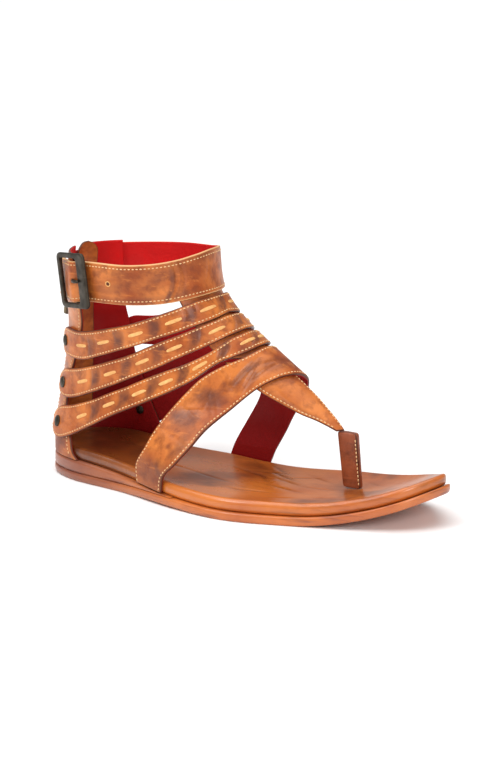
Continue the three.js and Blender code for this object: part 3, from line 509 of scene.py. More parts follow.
def upper_leather(name, pale, tan, deep, patch_and_shade, lining, edge_tone=(0.1, 0.03, 0.014, 1)):
    """Three tones laid over each other by clouds, dark where the mark says so, as dark patches and as
    painted shade, and red on the lining.
    """
    material, tree, shader, place = start_material(name, Coat_Weight=0.12, Coat_Roughness=0.25,
                                                   Specular_IOR_Level=0.28)
    wide = use_group(tree, clouds, Vector=place, Scale=44.0, Contrast=3.4)
    small = use_group(tree, clouds, Vector=place, Scale=150.0, Contrast=2.2)
    streaks = use_group(tree, scratches, Vector=place, Scale=240.0, Amount=0.75)
    colour = blend_colour(tree, wide, tan, pale)
    deeper = maths(tree, "MULTIPLY", span(tree, small, 0.45, 0.95), 0.7)
    colour = blend_colour(tree, deeper, colour, deep)
    slow = use_group(tree, clouds, Vector=place, Scale=17.0, Contrast=3.0)
    colour = blend_colour(tree, maths(tree, "MULTIPLY", span(tree, slow, 0.5, 1.0), 0.55), colour, deep)
    # The marks called dark are dark patches, and painted shade in creases, hollows and holes.
    uneven = span(tree, small, 0.1, 0.75, 0.6, 0.95)
    darkened = maths(tree, "MULTIPLY", attribute(tree, "dark"), uneven, clamp=True)
    colour = blend_colour(tree, darkened, colour, patch_and_shade)
    colour = blend_colour(tree, streaks, colour, pale)
    colour = blend_colour(tree, span(tree, attribute(tree, "rim"), 0.75, 0.1), colour, edge_tone)
    lined = attribute(tree, "lining")
    level = add_node(tree, "ShaderNodeSeparateXYZ", {0: place}).outputs[2]
    # One darker lining tone serves both the clouds on the lining and the painted shade low in the shoe.
    lining_dark_and_shade = tuple(0.4 * v for v in lining[:3]) + (1,)
    fresh = blend_colour(tree, maths(tree, "MULTIPLY", wide, 0.3), lining, lining_dark_and_shade)
    # Painted shade: the lining is painted darker from 118 mm down to 60 mm above the floor.
    cloth = blend_colour(tree, span(tree, level, 0.118, 0.06), fresh, lining_dark_and_shade)
    colour = blend_colour(tree, span(tree, lined, 0.6, 0.9), colour, cloth)
    tree.links.new(colour, shader.inputs["Base Color"])
    shine = span(tree, wide, 0.0, 1.0, 0.52, 0.3)
    rough = maths(tree, "ADD", shine, maths(tree, "MULTIPLY", lined, 0.3))
    tree.links.new(rough, shader.inputs["Roughness"])
    cells = use_group(tree, grain, Vector=place, Scale=850.0)
    soft = use_group(tree, clouds, Vector=place, Scale=260.0, Contrast=1.6)
    relief = maths(tree, "ADD", maths(tree, "MULTIPLY", cells, 0.3), soft)
    set_bump(tree, shader, relief, 0.25 * mm, 0.7)
    return material


tan_tones = (
    # pale, tan, deep, and the tone of dark patches and painted shade
    (0.6, 0.18, 0.035, 1), (0.33, 0.065, 0.008, 1), (0.15, 0.027, 0.006, 1), (0.11, 0.03, 0.016, 1),
)
red_lining = (0.66, 0.003, 0.003, 1)
tan_leather = upper_leather("tan pull-up leather", *tan_tones, red_lining)
raw_edged_leather = upper_leather("raw-edged tan leather", *tan_tones, red_lining, (0.72, 0.42, 0.18, 1))
post_leather = upper_leather("folded post leather", (0.34, 0.085, 0.03, 1), (0.2, 0.045, 0.016, 1),
                             (0.09, 0.02, 0.008, 1), (0.05, 0.013, 0.007, 1), (0.2, 0.045, 0.016, 1))


def sole_finish(name, light, mid, stain_and_shade, shine, streak_scale, heel_stain_and_shade):
    """Waxed sole leather: long streaks along the shoe, a darker heel, the dark marks and a polish. The heel
    is a stain on the edge and painted shade on the footbed, and the dark marks are painted shade.
    """
    material, tree, shader, place = start_material(name, Coat_Weight=0.4, Coat_Roughness=0.2)
    drawn = add_node(tree, "ShaderNodeMapping", {"Vector": place, "Scale": (0.25, 0.35, 2.2)}).outputs[0]
    wide = use_group(tree, clouds, Vector=place, Scale=26.0, Contrast=2.4)
    long = use_group(tree, clouds, Vector=drawn, Scale=streak_scale, Contrast=3.0)
    colour = blend_colour(tree, wide, mid, light)
    colour = blend_colour(tree, maths(tree, "MULTIPLY", span(tree, long, 0.55, 0.95), 0.6), colour, stain_and_shade)
    forward = add_node(tree, "ShaderNodeSeparateXYZ", {0: place}).outputs[0]
    # Darker at the heel: a stain on the sole's edge, and painted shade on the footbed inside the heel cup.
    heel = maths(tree, "MULTIPLY", span(tree, forward, 0.085, 0.0), span(tree, wide, 0.1, 0.55, 0.35, 1.0))
    colour = blend_colour(tree, maths(tree, "MULTIPLY", heel, heel_stain_and_shade), colour, stain_and_shade)
    # The marks called dark are painted shade in the footbed's wrinkles.
    colour = blend_colour(tree, attribute(tree, "dark"), colour, stain_and_shade)
    tree.links.new(colour, shader.inputs["Base Color"])
    tree.links.new(span(tree, wide, 0, 1, shine + 0.12, shine - 0.04), shader.inputs["Roughness"])
    cells = use_group(tree, grain, Vector=place, Scale=700.0)
    relief = maths(tree, "ADD", maths(tree, "MULTIPLY", cells, 0.25), long)
    set_bump(tree, shader, relief, 0.25 * mm, 0.6)
    return material


edge_leather = sole_finish("waxed sole edge", (0.6, 0.165, 0.026, 1), (0.4, 0.088, 0.013, 1),
                           (0.11, 0.022, 0.017, 1), 0.4, 120.0, 0.7)
# The footbed's dark tone also paints the shade inside the heel cup and in the wrinkles.
footbed_leather = sole_finish("polished footbed leather", (0.62, 0.18, 0.026, 1), (0.42, 0.096, 0.013, 1),
                              (0.085, 0.018, 0.004, 1), 0.28, 70.0, 0.98)


# %% [markdown]
# Thread, lace and zip cloth are dull and softly clouded. The buckle and rivets are dark gunmetal, and
# the zip is antique brass. Both metals are a dark tone with brighter worn places and fine scratches.

# %% Thread, lace, cloth and metal
def thread_finish(name, colour, dark):
    """A dull fibre between two tones."""
    material, tree, shader, place = start_material(name, Roughness=0.7)
    tone = use_group(tree, clouds, Vector=place, Scale=300.0, Contrast=2.0)
    tree.links.new(blend_colour(tree, tone, dark, colour), shader.inputs["Base Color"])
    set_bump(tree, shader, use_group(tree, grain, Vector=place, Scale=2200.0), 0.15 * mm)
    return material


cream_thread = thread_finish("cream thread", (0.86, 0.6, 0.32, 1), (0.62, 0.33, 0.13, 1))
lace_hide = thread_finish("pale lace", (0.86, 0.5, 0.18, 1), (0.62, 0.28, 0.08, 1))
tape_cloth = thread_finish("red zip tape", (0.5, 0.01, 0.012, 1), (0.28, 0.006, 0.008, 1))


def metal_finish(name, dark, bright, roughness):
    """Aged metal: bright and smoother where it is worn or scratched."""
    material, tree, shader, place = start_material(name, Metallic=0.85)
    wear = use_group(tree, clouds, Vector=place, Scale=170.0, Contrast=2.5)
    fine = use_group(tree, scratches, Vector=place, Scale=500.0, Amount=0.6)
    shade = maths(tree, "ADD", wear, fine, clamp=True)
    tree.links.new(blend_colour(tree, shade, dark, bright), shader.inputs["Base Color"])
    tree.links.new(span(tree, wear, 0, 1, roughness + 0.15, roughness - 0.05), shader.inputs["Roughness"])
    set_bump(tree, shader, wear, 0.06 * mm, 0.5)
    return material


gunmetal = metal_finish("dark gunmetal", (0.034, 0.028, 0.021, 1), (0.078, 0.064, 0.048, 1), 0.42)
antique_brass = metal_finish("antique zip brass", (0.06, 0.048, 0.032, 1), (0.22, 0.17, 0.1, 1), 0.36)
print("materials", len(bpy.data.materials))

# %% [markdown]
# ## The sole
# Outsole, heel wedge and footbed are built like loaves: at each of many stations along the shoe, a
# profile goes up the outer side, over the top and down the inner side. The top of the footbed is
# dished, its rim is rolled, and the skin on it is drawn into low wrinkles under the ball.


# %% Sole layers
def sole_layer(name, profile, bottom, top, material, node, slot, last_share=0.5, stations=150, across=26,
               dish=None, creases=()):
    """A layer of the sole. Profile rows are (inset, rise as a share of the wall), from bottom to top. The
    stations crowd at both ends by half a cosine, or at the back alone where the layer stops early."""
    share = last_share * (1 - np.cos(np.linspace(0, np.pi, stations))) / 2
    if last_share < 0.5:
        share = last_share * np.linspace(0, 1, stations) ** 1.5
    rings = []
    for inset, rise in profile:
        for side in (-1, 1):
            flat = outline(-side * share, inset * mm)
            base, lid = bottom(flat[:, 0]), top(flat[:, 0])
            rings.append(np.column_stack([flat, base + (lid - base) * rise]))
    outer, inner = np.array(rings[0::2]), np.array(rings[1::2])
    t = np.linspace(0, 1, across + 1)[:, None, None]
    floor = outer[0] * (1 - t) + inner[0] * t
    floor[..., 2] = bottom(floor[..., 0])
    lid = outer[-1] * (1 - t) + inner[-1] * t
    lid[..., 2] = top(lid[..., 0])
    wrinkles = troughs(lid[..., 0], lid[..., 1], creases)
    if dish is not None:
        lid[..., 2] -= dish(lid[..., 0], t[..., 0]) + wrinkles
    loop = np.concatenate([floor[::-1], outer[1:-1], lid, inner[-2:0:-1]])
    loop[..., 0] -= heel_seat
    count = loop.shape[0]
    points = loop.transpose(1, 0, 2).reshape(-1, 3)
    faces = tube_faces(stations, count).tolist()
    if last_share < 0.5:
        faces.append(list(range((stations - 1) * count, stations * count)))
    # Painted shade: the footbed's wrinkles are painted darker by their depth.
    dark = np.zeros(loop.shape[:2])
    first_of_lid = across + len(profile) - 1
    dark[first_of_lid:first_of_lid + across + 1] = 1.2 * wrinkles / mm
    return make_piece(name, points, faces, material, [node], slot, 0.02 * mm, {"dark": dark.T})


sole_layer("outsole_leather", [(1.6, 0), (0.75, 0.05), (0.3, 0.2), (0, 0.48), (0, 0.68), (0.12, 0.88),
                               (0.6, 1)],
           floor_level, lambda x: floor_level(x) + outsole_wall, edge_leather, "outsole", "sole_leather")
sole_layer("heel_wedge_leather", [(0.6, 0), (0.3, 0.2), (0.3, 0.8), (0.6, 1)],
           wedge_level, lambda x: wedge_level(x) + wedge_wall(x), edge_leather, "heel_wedge",
           "sole_leather", 0.2222, 60, 8)

footbed_creases = [
    # middle along and across, direction, length, width, depth
    (150, 14, -24, 28, 0.9, 0.7), (158, 6, -18, 24, 0.8, 0.6), (143, 22, -30, 22, 0.9, 0.55),
    (165, -8, -10, 26, 0.8, 0.5), (172, 20, -22, 20, 0.8, 0.45), (152, -22, 12, 24, 0.8, 0.5),
    (146, 2, -40, 22, 0.8, 0.5), (162, 16, 34, 18, 0.7, 0.4), (139, 15, 20, 20, 0.8, 0.4),
    (181, 2, 6, 18, 0.8, 0.3), (136, 8, -12, 30, 1.4, 0.4), (196, -14, 20, 16, 0.9, 0.25),
    (120, -14, -6, 30, 1.2, 0.3), (176, -26, 28, 18, 0.9, 0.3), (206, 24, -34, 18, 0.9, 0.25),
    (60, 4, 4, 40, 1.6, 0.25), (84, -10, -8, 34, 1.3, 0.25),
]


def footbed_hollow(x, t):
    """The dish under the foot: flat at the rim, deepest in the middle, and fading at the toe."""
    return footbed_dish * (1 - (2 * t - 1) ** 4) * ease((length - x) / (40 * mm))


sole_layer("footbed_leather", [(3.3, 0), (2.5, 0.17), (2.3, 0.35), (2.3, 0.55), (2.45, 0.7), (2.9, 0.85),
                               (3.7, 0.95), (4.9, 1)],
           footbed_level, footbed_top, footbed_leather, "footbed", "footbed_leather", stations=220,
           across=90, dish=footbed_hollow, creases=footbed_creases)
print("faces", finished)

# %% [markdown]
# ## The heel cup and the zip
# Two lined halves rise from the sole to the collar and meet at the zip. Their front edges lean, and
# are given by a few turns at heights.

# %% Heel cup
chain_width = 4.2 * mm
tape_width = 3.2 * mm
back_radius = 0.382 * ankle_width
zip_edge = chain_width / 2 + 2 * gap + tape_width
counter_top = 0.988 * collar_height
cup_top = counter_top + 1.6 * mm
outer_counter_rows = np.array([
    # height, turn of the front edge
    (0.09, -134), (0.119, -137), (0.187, -138.5), (0.325, -146), (0.5, -141), (0.716, -123), (0.85, -118),
    (0.99, -117),
])
inner_counter_rows = np.array([
    # height, turn of the front edge
    (0.09, 119), (0.194, 122.5), (0.295, 126.5), (0.5, 131.5), (0.638, 132.5), (0.705, 133.5), (0.899, 135.5),
    (0.99, 137),
])


def back_turn(distance):
    """The turn, in degrees, that a distance takes at the back of the ankle."""
    return np.degrees(distance / back_radius)


def counter_foot(x):
    """The level at which the heel cup stands on the wedge."""
    return wedge_level(x) + wedge_wall(x) + gap


def heel_cup(name, rows, side, node, creases, dark):
    """Half of the heel cup, from the zip's edge to its leaning front edge."""
    rise = border_shares(70, cup_top)[:, None]
    level = counter_foot(seat_inset) + (cup_top - counter_foot(seat_inset)) * rise
    front = read_rows(rows, level / collar_height)[..., 0]
    back = side * (180 - back_turn(zip_edge))
    turn = back + (front - back) * border_shares(30, 30 * mm)
    foot = counter_foot(last_point(turn, level)[..., 0] + heel_seat)
    height = foot + (cup_top - foot) * rise
    return leather_sheet(name, turn, height, 0.0, counter_wall, tan_leather, [node], creases=creases,
                         dark=dark)


heel_cup("heel_cup_outer", outer_counter_rows, -1, "counter_lateral",
         [(8, 12, 8, 26, 1.6, 0.3), (60, 14, 70, 18, 1.4, 0.25)], [(6, 12, 90, 40, 9, 0.5)])
heel_cup("heel_cup_inner", inner_counter_rows, 1, "counter_medial",
         [(10, 16, 6, 24, 1.6, 0.3), (45, 20, 78, 22, 1.4, 0.25)], [(6, 16, 90, 50, 9, 0.5)])

# %% [markdown]
# The zip is two cloth tapes with a row of metal teeth between them. One tooth is shaped once, as a
# small block with round corners, and copied up the back with numpy. Behind it is a soft guard.


# %% Zip
def block_template(size, steps=4, power=4.0):
    """A block with round corners: a ball whose coordinates are raised to a low power."""
    around = np.linspace(0, 2 * np.pi, 4 * steps, endpoint=False)
    up = np.linspace(-np.pi / 2, np.pi / 2, 2 * steps + 1)
    a, b = np.meshgrid(around, up, indexing="xy")
    ring = squarish(np.cos(b), power)
    points = np.stack([ring * squarish(np.cos(a), power), ring * squarish(np.sin(a), power),
                       squarish(np.sin(b), power)], -1)
    return points.reshape(-1, 3) * np.array(size) / 2, tube_faces(len(up), len(around), flip=True)


def copies(template, places, along, out, bend=0.0):
    """Copies of a small shape: its x goes along, its z goes out, and its y across both. Its ends may
    sink by a bend that grows with the square of x."""
    points, faces = template
    across = np.cross(out, along)
    reach = np.abs(points[:, 0]).max()
    sunk = points[:, 2] - bend * (points[:, 0] / reach) ** 2
    placed = (places[:, None] + points[None, :, 0, None] * along[:, None]
              + points[None, :, 1, None] * across[:, None] + sunk[None, :, None] * out[:, None])
    shifted = faces[None] + (np.arange(len(places)) * len(points))[:, None, None]
    return placed.reshape(-1, 3), shifted.reshape(-1, faces.shape[1])


def strip_up(bottom, top, left, right, count=60, columns=6):
    """Places across and heights of an upright strip between two sides."""
    height = bottom + (top - bottom) * border_shares(count, top - bottom)[:, None]
    across = left + (right - left) * np.linspace(0, 1, columns)[None, :]
    return np.broadcast_arrays(across, height)


zip_bottom, zip_top = 0.162 * collar_height, 0.975 * collar_height
slider_place = 0.91 * collar_height


def back_point(across, height):
    """Points on the back of the last at a distance across from its middle. The ring at each height is
    sampled at many turns, and the point lies straight between the two samples beside it, which also
    bridges the step that the two halves of the last leave in the middle of the heel."""
    across, height = np.broadcast_arrays(across, height)
    ring = last_point(np.linspace(156, 204, 97), height[..., None])
    beside = np.clip((ring[..., 1] > across[..., None]).sum(-1) - 1, 0, ring.shape[-2] - 2)[..., None, None]
    first, second = (np.take_along_axis(ring, beside + k, axis=-2)[..., 0, :] for k in (0, 1))
    share = (first[..., 1] - across) / (first[..., 1] - second[..., 1])
    return first + (second - first) * share[..., None]


def off_back(across, height, offset):
    """Points of the back moved out by an offset, and the ways up and out there: out is the cross
    product of the steps up and across."""
    step = 0.5 * mm
    up = unit(back_point(across, height + step) - back_point(across, height - step))
    side = unit(back_point(across + step, height) - back_point(across - step, height))
    out = unit(np.cross(up, side))
    return back_point(across, height) + offset * out, up, out


def back_strip(across, height, offset, wall):
    """Points and faces of a closed strip of one wall that lies an offset off the back."""
    layers = [off_back(across, height, level)[0].reshape(-1, 3) for level in (offset, offset + wall)]
    return np.concatenate(layers), closed_faces(*across.shape)


for side, label in ((-1, "lateral"), (1, "medial")):
    share, height = strip_up(zip_bottom, zip_top, 0, 1)
    near = side * (chain_width / 2 + gap)
    far = last_point(180 - side * back_turn(chain_width / 2 + gap + tape_width), height)[..., 1]
    across = near + (far - near) * share
    tape_points, tape_faces = back_strip(across, height, 0.45 * mm, 0.8 * mm)
    make_piece(f"tape_{label}", tape_points, tape_faces, tape_cloth, [f"zip_tape_{label}"], "zip_cloth")
    widths = np.abs(across[:, -1] - near) / mm
    print(f"tape_{label} flat about", round((zip_top - zip_bottom) / mm), "x", widths.round().min(), "to",
          widths.round().max(), "mm")

tooth_pitch, tooth_stagger, tooth_size = 1.5 * mm, 0.7 * mm, (1.0 * mm, 2.7 * mm, 1.6 * mm)
tooth_rows = np.arange(zip_bottom + 1 * mm, slider_place - 5.6 * mm, tooth_pitch)
tooth_across = np.where(np.arange(len(tooth_rows)) % 2, tooth_stagger, -tooth_stagger)
tooth_points, tooth_faces = copies(block_template(tooth_size, 3),
                                   *off_back(tooth_across, tooth_rows, 0.85 * mm))
chain_across, chain_height = strip_up(zip_bottom, slider_place - 5.3 * mm, -1.9 * mm, 1.9 * mm, 40, 5)
strip_points, strip_faces = back_strip(chain_across, chain_height, 0.3 * mm, 0.5 * mm)
make_piece("zip_teeth", np.concatenate([strip_points, tooth_points]),
           np.vstack([strip_faces, tooth_faces + len(strip_points)]),
           antique_brass, ["zip_chain"], "zip_metal", 0.005 * mm)

guard_foot, guard_wall = footbed_top(seat_inset) + gap, 1.2 * mm
guard_top = cup_top + 1.6 * mm
guard_rise = border_shares(60, guard_top - guard_foot)[:, None]
guard_height = guard_foot + (guard_top - guard_foot) * guard_rise
guard_round = np.sqrt(1 - np.clip(1 - (guard_top - guard_height) / (7 * mm), 0, 0.97) ** 2)
guard_inner_turn, guard_outer_turn = 160, 360 - 169
guard_middle = (guard_outer_turn + guard_inner_turn) / 2
guard_reach = (guard_outer_turn - guard_inner_turn) / 2
guard_turn = guard_middle + guard_reach * guard_round * (2 * border_shares(14, 12 * mm)[None, :] - 1)
leather_sheet("zip_guard_leather", guard_turn, guard_height + 0 * guard_turn, -drape_gap - guard_wall,
              guard_wall, tan_leather, ["zip_guard"], "lining", edge=0.5 * mm, lined=False)
for node in ("zip_slider", "zip_pull"):
    frame["nodes"][node].data.materials.clear()
    frame["nodes"][node].data.materials.append(antique_brass)
print("teeth", len(tooth_rows))

# %% [markdown]
# ## The straps
# A strap is a band between two edges. Both edges are tables of heights by the turn round the foot. The
# three laced straps share one way: a rounded end behind each rivet, a narrow part over the instep, and
# the same rows on both sides of the foot.

# %% Strap tables
upper_rows = np.array([
    # turn, upper edge's height, lower edge's height
    (0, 0.838, 0.762), (10, 0.836, 0.757), (25, 0.828, 0.745), (40, 0.81, 0.73), (55, 0.787, 0.708),
    (70, 0.759, 0.682), (85, 0.731, 0.649), (99, 0.709, 0.614), (112, 0.687, 0.578), (127, 0.668, 0.541),
    (145, 0.664, 0.534), (158, 0.66, 0.53),
])
middle_rows = np.array([
    (0, 0.753, 0.696), (10, 0.751, 0.693), (25, 0.74, 0.683), (40, 0.724, 0.662), (55, 0.7, 0.634),
    (69, 0.672, 0.599), (82, 0.638, 0.557), (95, 0.597, 0.512), (107, 0.563, 0.464), (120, 0.526, 0.414),
    (135, 0.492, 0.363), (146, 0.479, 0.345), (158, 0.468, 0.338),
])
lower_rows = np.array([
    (0, 0.687, 0.634), (10, 0.684, 0.632), (25, 0.673, 0.62), (37, 0.653, 0.606), (47, 0.63, 0.589),
    (57, 0.605, 0.56), (70, 0.57, 0.51), (81, 0.54, 0.464), (92, 0.502, 0.416), (102, 0.46, 0.37),
    (112, 0.42, 0.323), (122, 0.376, 0.27), (136, 0.329, 0.2), (147, 0.31, 0.166), (158, 0.3, 0.155),
])
strap_end, strap_round, rivet_turn, inner_share = 157.0, 15.0, 148.0, 0.72


def inner_turn(turn):
    """Turn on the inner side that matches one on the outer side: beyond the middle it is shorter."""
    return np.where(turn < 90, turn, 90 + (turn - 90) * inner_share)


def rounded_end(distance, reach):
    """Half height of a round end: a quarter circle over the given reach."""
    return np.sqrt(1 - np.clip(1 - distance / reach, 0, 0.97) ** 2)


def band(turn_low, height_low, turn_high, height_high, inner, wall=strap_wall):
    """A band's two edges, its inner offset and its wall, at many stations."""
    arrays = np.broadcast_arrays(turn_low, height_low, turn_high, height_high, inner)
    return {"edges": np.array(arrays, float), "wall": wall}


def band_place(strip, station, share):
    """Turn, height and inner offset at stations 0 to 1 along a band and shares 0 to 1 across it."""
    station = np.asarray(station, float)
    count = strip["edges"].shape[1]
    at = station * (count - 1)
    values = [np.interp(at, np.arange(count), row) for row in strip["edges"]]
    turn = values[0] + (values[2] - values[0]) * share
    height = values[1] + (values[3] - values[1]) * share
    return turn, height, values[4]


def band_point(strip, station, share, lift=0.0):
    turn, height, inner = band_place(strip, station, share)
    return on_last(turn, height, inner + strip["wall"] + lift)


def band_sheet(name, strip, material, nodes, width, stations=260, across=12, **words):
    """The leather of a band, on a fine grid."""
    station = np.linspace(0, 1, stations)[:, None]
    share = border_shares(across, width)[None, :]
    station, share = np.broadcast_arrays(station, share)
    turn, height, inner = band_place(strip, station, share)
    return leather_sheet(name, turn, height, inner, strip["wall"], material, nodes, **words)


def laced_band(rows):
    """Edges of a laced strap, from its outer end over the foot to its inner end."""
    near = strap_round * np.array([0.03, 0.08, 0.15, 0.25, 0.38, 0.55, 0.77])
    turns = np.concatenate([strap_end - near, np.linspace(strap_end - strap_round, 0, 90)])
    upper, lower = read_rows(rows, turns).T * collar_height
    middle, half = (upper + lower) / 2, (upper - lower) / 2 * rounded_end(strap_end - turns, strap_round)
    turn = np.concatenate([-turns, inner_turn(turns[-2::-1])])
    low, high = (np.concatenate([edge, edge[-2::-1]]) for edge in (middle - half, middle + half))
    return band(turn, low, turn, high, strap_offset)


# %% [markdown]
# The lace goes in and out of slits along the middle of each strap. Where it dives under, the strap is
# pulled in and the hollow is painted darker as painted shade, so each dark hollow lies half way between
# two dashes.

# %% Laced straps
dash_turns = {
    # turns of the middles of the dashes on the outer side, from the rivet to the front
    "upper": [126, 106, 81, 51, 19],
    "middle": [128, 109, 88, 65, 29],
    "lower": [128, 112.5, 97, 82, 60, 14],
}
straps = {"upper": laced_band(upper_rows), "middle": laced_band(middle_rows), "lower": laced_band(lower_rows)}
strap_middles = {}
lace_line = 7.0


def station_of_turn(strip, turn):
    """The station, 0 to 1, at which a band passes a turn."""
    turns = strip["edges"][0]
    return np.interp(turn, turns, np.linspace(0, 1, len(turns)))


for label, strip in straps.items():
    outer = -np.array(dash_turns[label], float)
    inner = inner_turn(np.array(dash_turns[label][::-1], float))
    middles = station_of_turn(strip, np.concatenate([outer, inner[inner > 12]]))
    strap_middles[label] = middles
    fine = np.linspace(0, 1, 800)
    run = path_length(band_point(strip, fine, 0.5), 0)
    at = np.interp(middles, fine, run) / mm
    hollows = (at[1:] + at[:-1]) / 2
    # Painted shade in each hollow between two dashes.
    dark = [(place, lace_line, 90, 11.5, 3.9, 0.95) for place in hollows]
    tucks = [(place + shift, lace_line, 90, 11, 0.9, 0.45) for place in hollows for shift in (-3.4, 3.4)]
    band_sheet(f"laced_strap_{label}", strip, tan_leather, [f"strap_{label}"], 2 * lace_line * mm, 420, 12,
               dark=dark, creases=tucks, swell=0.15 * mm)
print("dashes", {key: len(value) for key, value in strap_middles.items()})

# %% [markdown]
# The ankle strap is the widest one. It lies on the heel cup, climbs over the buckle's bar, and runs
# round the front to its sewn end on the inner side.

# %% Ankle strap
ankle_rows = np.array([
    # turn, upper edge's height, lower edge's height
    (-170, 0.963, 0.783), (-137, 0.978, 0.798), (-120, 0.991, 0.811), (-106, 1.0, 0.82), (-90, 1.003, 0.825),
    (-70, 0.999, 0.827), (-50, 1.004, 0.831), (-32, 1.016, 0.84), (-15, 1.031, 0.849), (5, 1.041, 0.852),
    (30, 1.033, 0.847), (60, 1.008, 0.825), (90, 0.997, 0.815), (120, 0.988, 0.806), (152, 0.985, 0.804),
])
ankle_tip, ankle_fixed_end, ankle_tip_round = -163.0, 150.0, 16.0
buckle_turn, buckle_waist, frame_length, frame_height = -114.0, 0.07, 28 * mm, 32 * mm
bar_level, bar_radius, buckle_tab_rise = 3.1 * mm, 0.9 * mm, 1.3 * mm
strap_over_bar = bar_level + bar_radius + 2.4 * mm


def buckle_distance(turn):
    """Distance along the leather from the buckle's bar, forwards positive."""
    apart = np.linalg.norm(last_point(turn, slider_place) - last_point(buckle_turn, slider_place), axis=-1)
    return np.sign(turn - buckle_turn) * apart


tip = ankle_tip_round * np.array([0.03, 0.08, 0.15, 0.25, 0.38, 0.55, 0.77])
ankle_turns = np.concatenate([
    ankle_tip + tip, np.linspace(ankle_tip + ankle_tip_round, ankle_fixed_end, 300),
])
upper, lower = read_rows(ankle_rows, ankle_turns).T * collar_height
bar_distance = buckle_distance(ankle_turns)
waist = 1 - buckle_waist * np.exp(-((bar_distance / frame_length) ** 2))
half = (upper - lower) / 2 * waist * rounded_end(ankle_turns - ankle_tip, ankle_tip_round)
hump = np.exp(-((bar_distance / (4.6 * mm)) ** 2))
rise_over_bar = (strap_over_bar - strap_offset - buckle_tab_rise / 2) * hump
ankle_inner = strap_offset + buckle_tab_rise * ease(-bar_distance / (6 * mm)) + rise_over_bar
ankle = band(ankle_turns, (upper + lower) / 2 - half, ankle_turns, (upper + lower) / 2 + half, ankle_inner)


def punched_hole(strip, station, share):
    """Where a hole or a fold lies, as lengths along and across the band, in millimetres."""
    fine = np.linspace(0, station, 400)
    side = np.linspace(0, share, 60)
    along = path_length(band_point(strip, fine, share), 0)[-1]
    across = path_length(band_point(strip, np.full(60, station), side), 0)[-1]
    return along / mm, across / mm


open_hole_turn, buckled_hole_turn, fold_turn = -83.0, -112.0, -34.0
holes = [punched_hole(ankle, station_of_turn(ankle, turn), 0.5)
         for turn in (open_hole_turn, buckled_hole_turn)]
ankle_creases = [(along, across, 0, 2.0, 1.0, 1.5) for along, across in holes]
# Painted shade in the punched holes.
hole_marks = [(along, across, 0, 2.2, 0.9, 2.0) for along, across in holes]
fold_at = punched_hole(ankle, station_of_turn(ankle, fold_turn), 0.5)[0]
band_sheet("ankle_strap_leather", ankle, raw_edged_leather, ["ankle_strap"], 24 * mm, 520, 26,
           swell=0.15 * mm, creases=ankle_creases + [
               (fold_at, 12, 78, 30, 0.9, 0.8), (fold_at + 1.9, 12, 78, 28, 0.8, -0.4),
               (fold_at + 5.5, 16, 84, 16, 0.9, 0.4), (fold_at - 4.0, 14, 96, 14, 0.9, 0.35),
               (fold_at - 26, 8, 12, 22, 0.9, 0.2), (fold_at - 38, 15, -8, 26, 0.9, 0.18),
               (fold_at + 22, 14, 70, 14, 0.9, 0.2)],
           # Painted shade in the holes, and just behind the fold at fold_at - 2.4, on the crease's shaded
           # side.
           dark=hole_marks + [(fold_at - 20, 3, 0, 60, 2.2, 0.5), (fold_at - 44, 9, 4, 30, 3.2, 0.35),
                              (fold_at - 2.4, 10, 80, 22, 1.6, 0.7), (fold_at - 9, 16, 20, 14, 2.0, 0.5)])
print("holes at", np.round(holes, 1).tolist())

# %% [markdown]
# The vamp strap is broad and crosses the foot from edge to edge of the footbed. Its rows give both
# edges on their own, because its front edge is turned less than its back edge. It carries the deepest
# creases of the upper.

# %% Vamp strap
vamp_rows = np.array([
    # share along, rear edge's turn and height, fore edge's turn and height, how far it stands on others
    (0.0, -106, 0.0687, -95.5, 0.0567, 0), (0.05, -104, 0.147, -92, 0.127, 0),
    (0.11, -98, 0.226, -85.5, 0.187, 0), (0.17, -91.7, 0.313, -78.5, 0.257, 0.2),
    (0.23, -85.3, 0.384, -71, 0.333, 0.6), (0.29, -76.5, 0.454, -61, 0.4, 1),
    (0.35, -65.5, 0.518, -50, 0.455, 1), (0.41, -50.5, 0.567, -37, 0.497, 1),
    (0.46, -32, 0.6, -22, 0.521, 1), (0.51, -10, 0.624, -7, 0.526, 1), (0.55, 8, 0.624, 7, 0.518, 1),
    (0.6, 25, 0.608, 22, 0.494, 1), (0.66, 42, 0.573, 38, 0.451, 1), (0.72, 57, 0.513, 53, 0.384, 0.8),
    (0.79, 69, 0.437, 64, 0.313, 0.4), (0.86, 80, 0.328, 73, 0.224, 0.1), (0.93, 90.5, 0.201, 80, 0.142, 0),
    (1.0, 99.5, 0.0597, 86.5, 0.0537, 0),
])
rear_turn, rear, fore_turn, fore, over = read_rows(vamp_rows, np.linspace(0, 1, 300)).T
vamp = band(fore_turn, fore * collar_height, rear_turn, rear * collar_height,
            np.clip(over, 0, 1) * strap_offset)
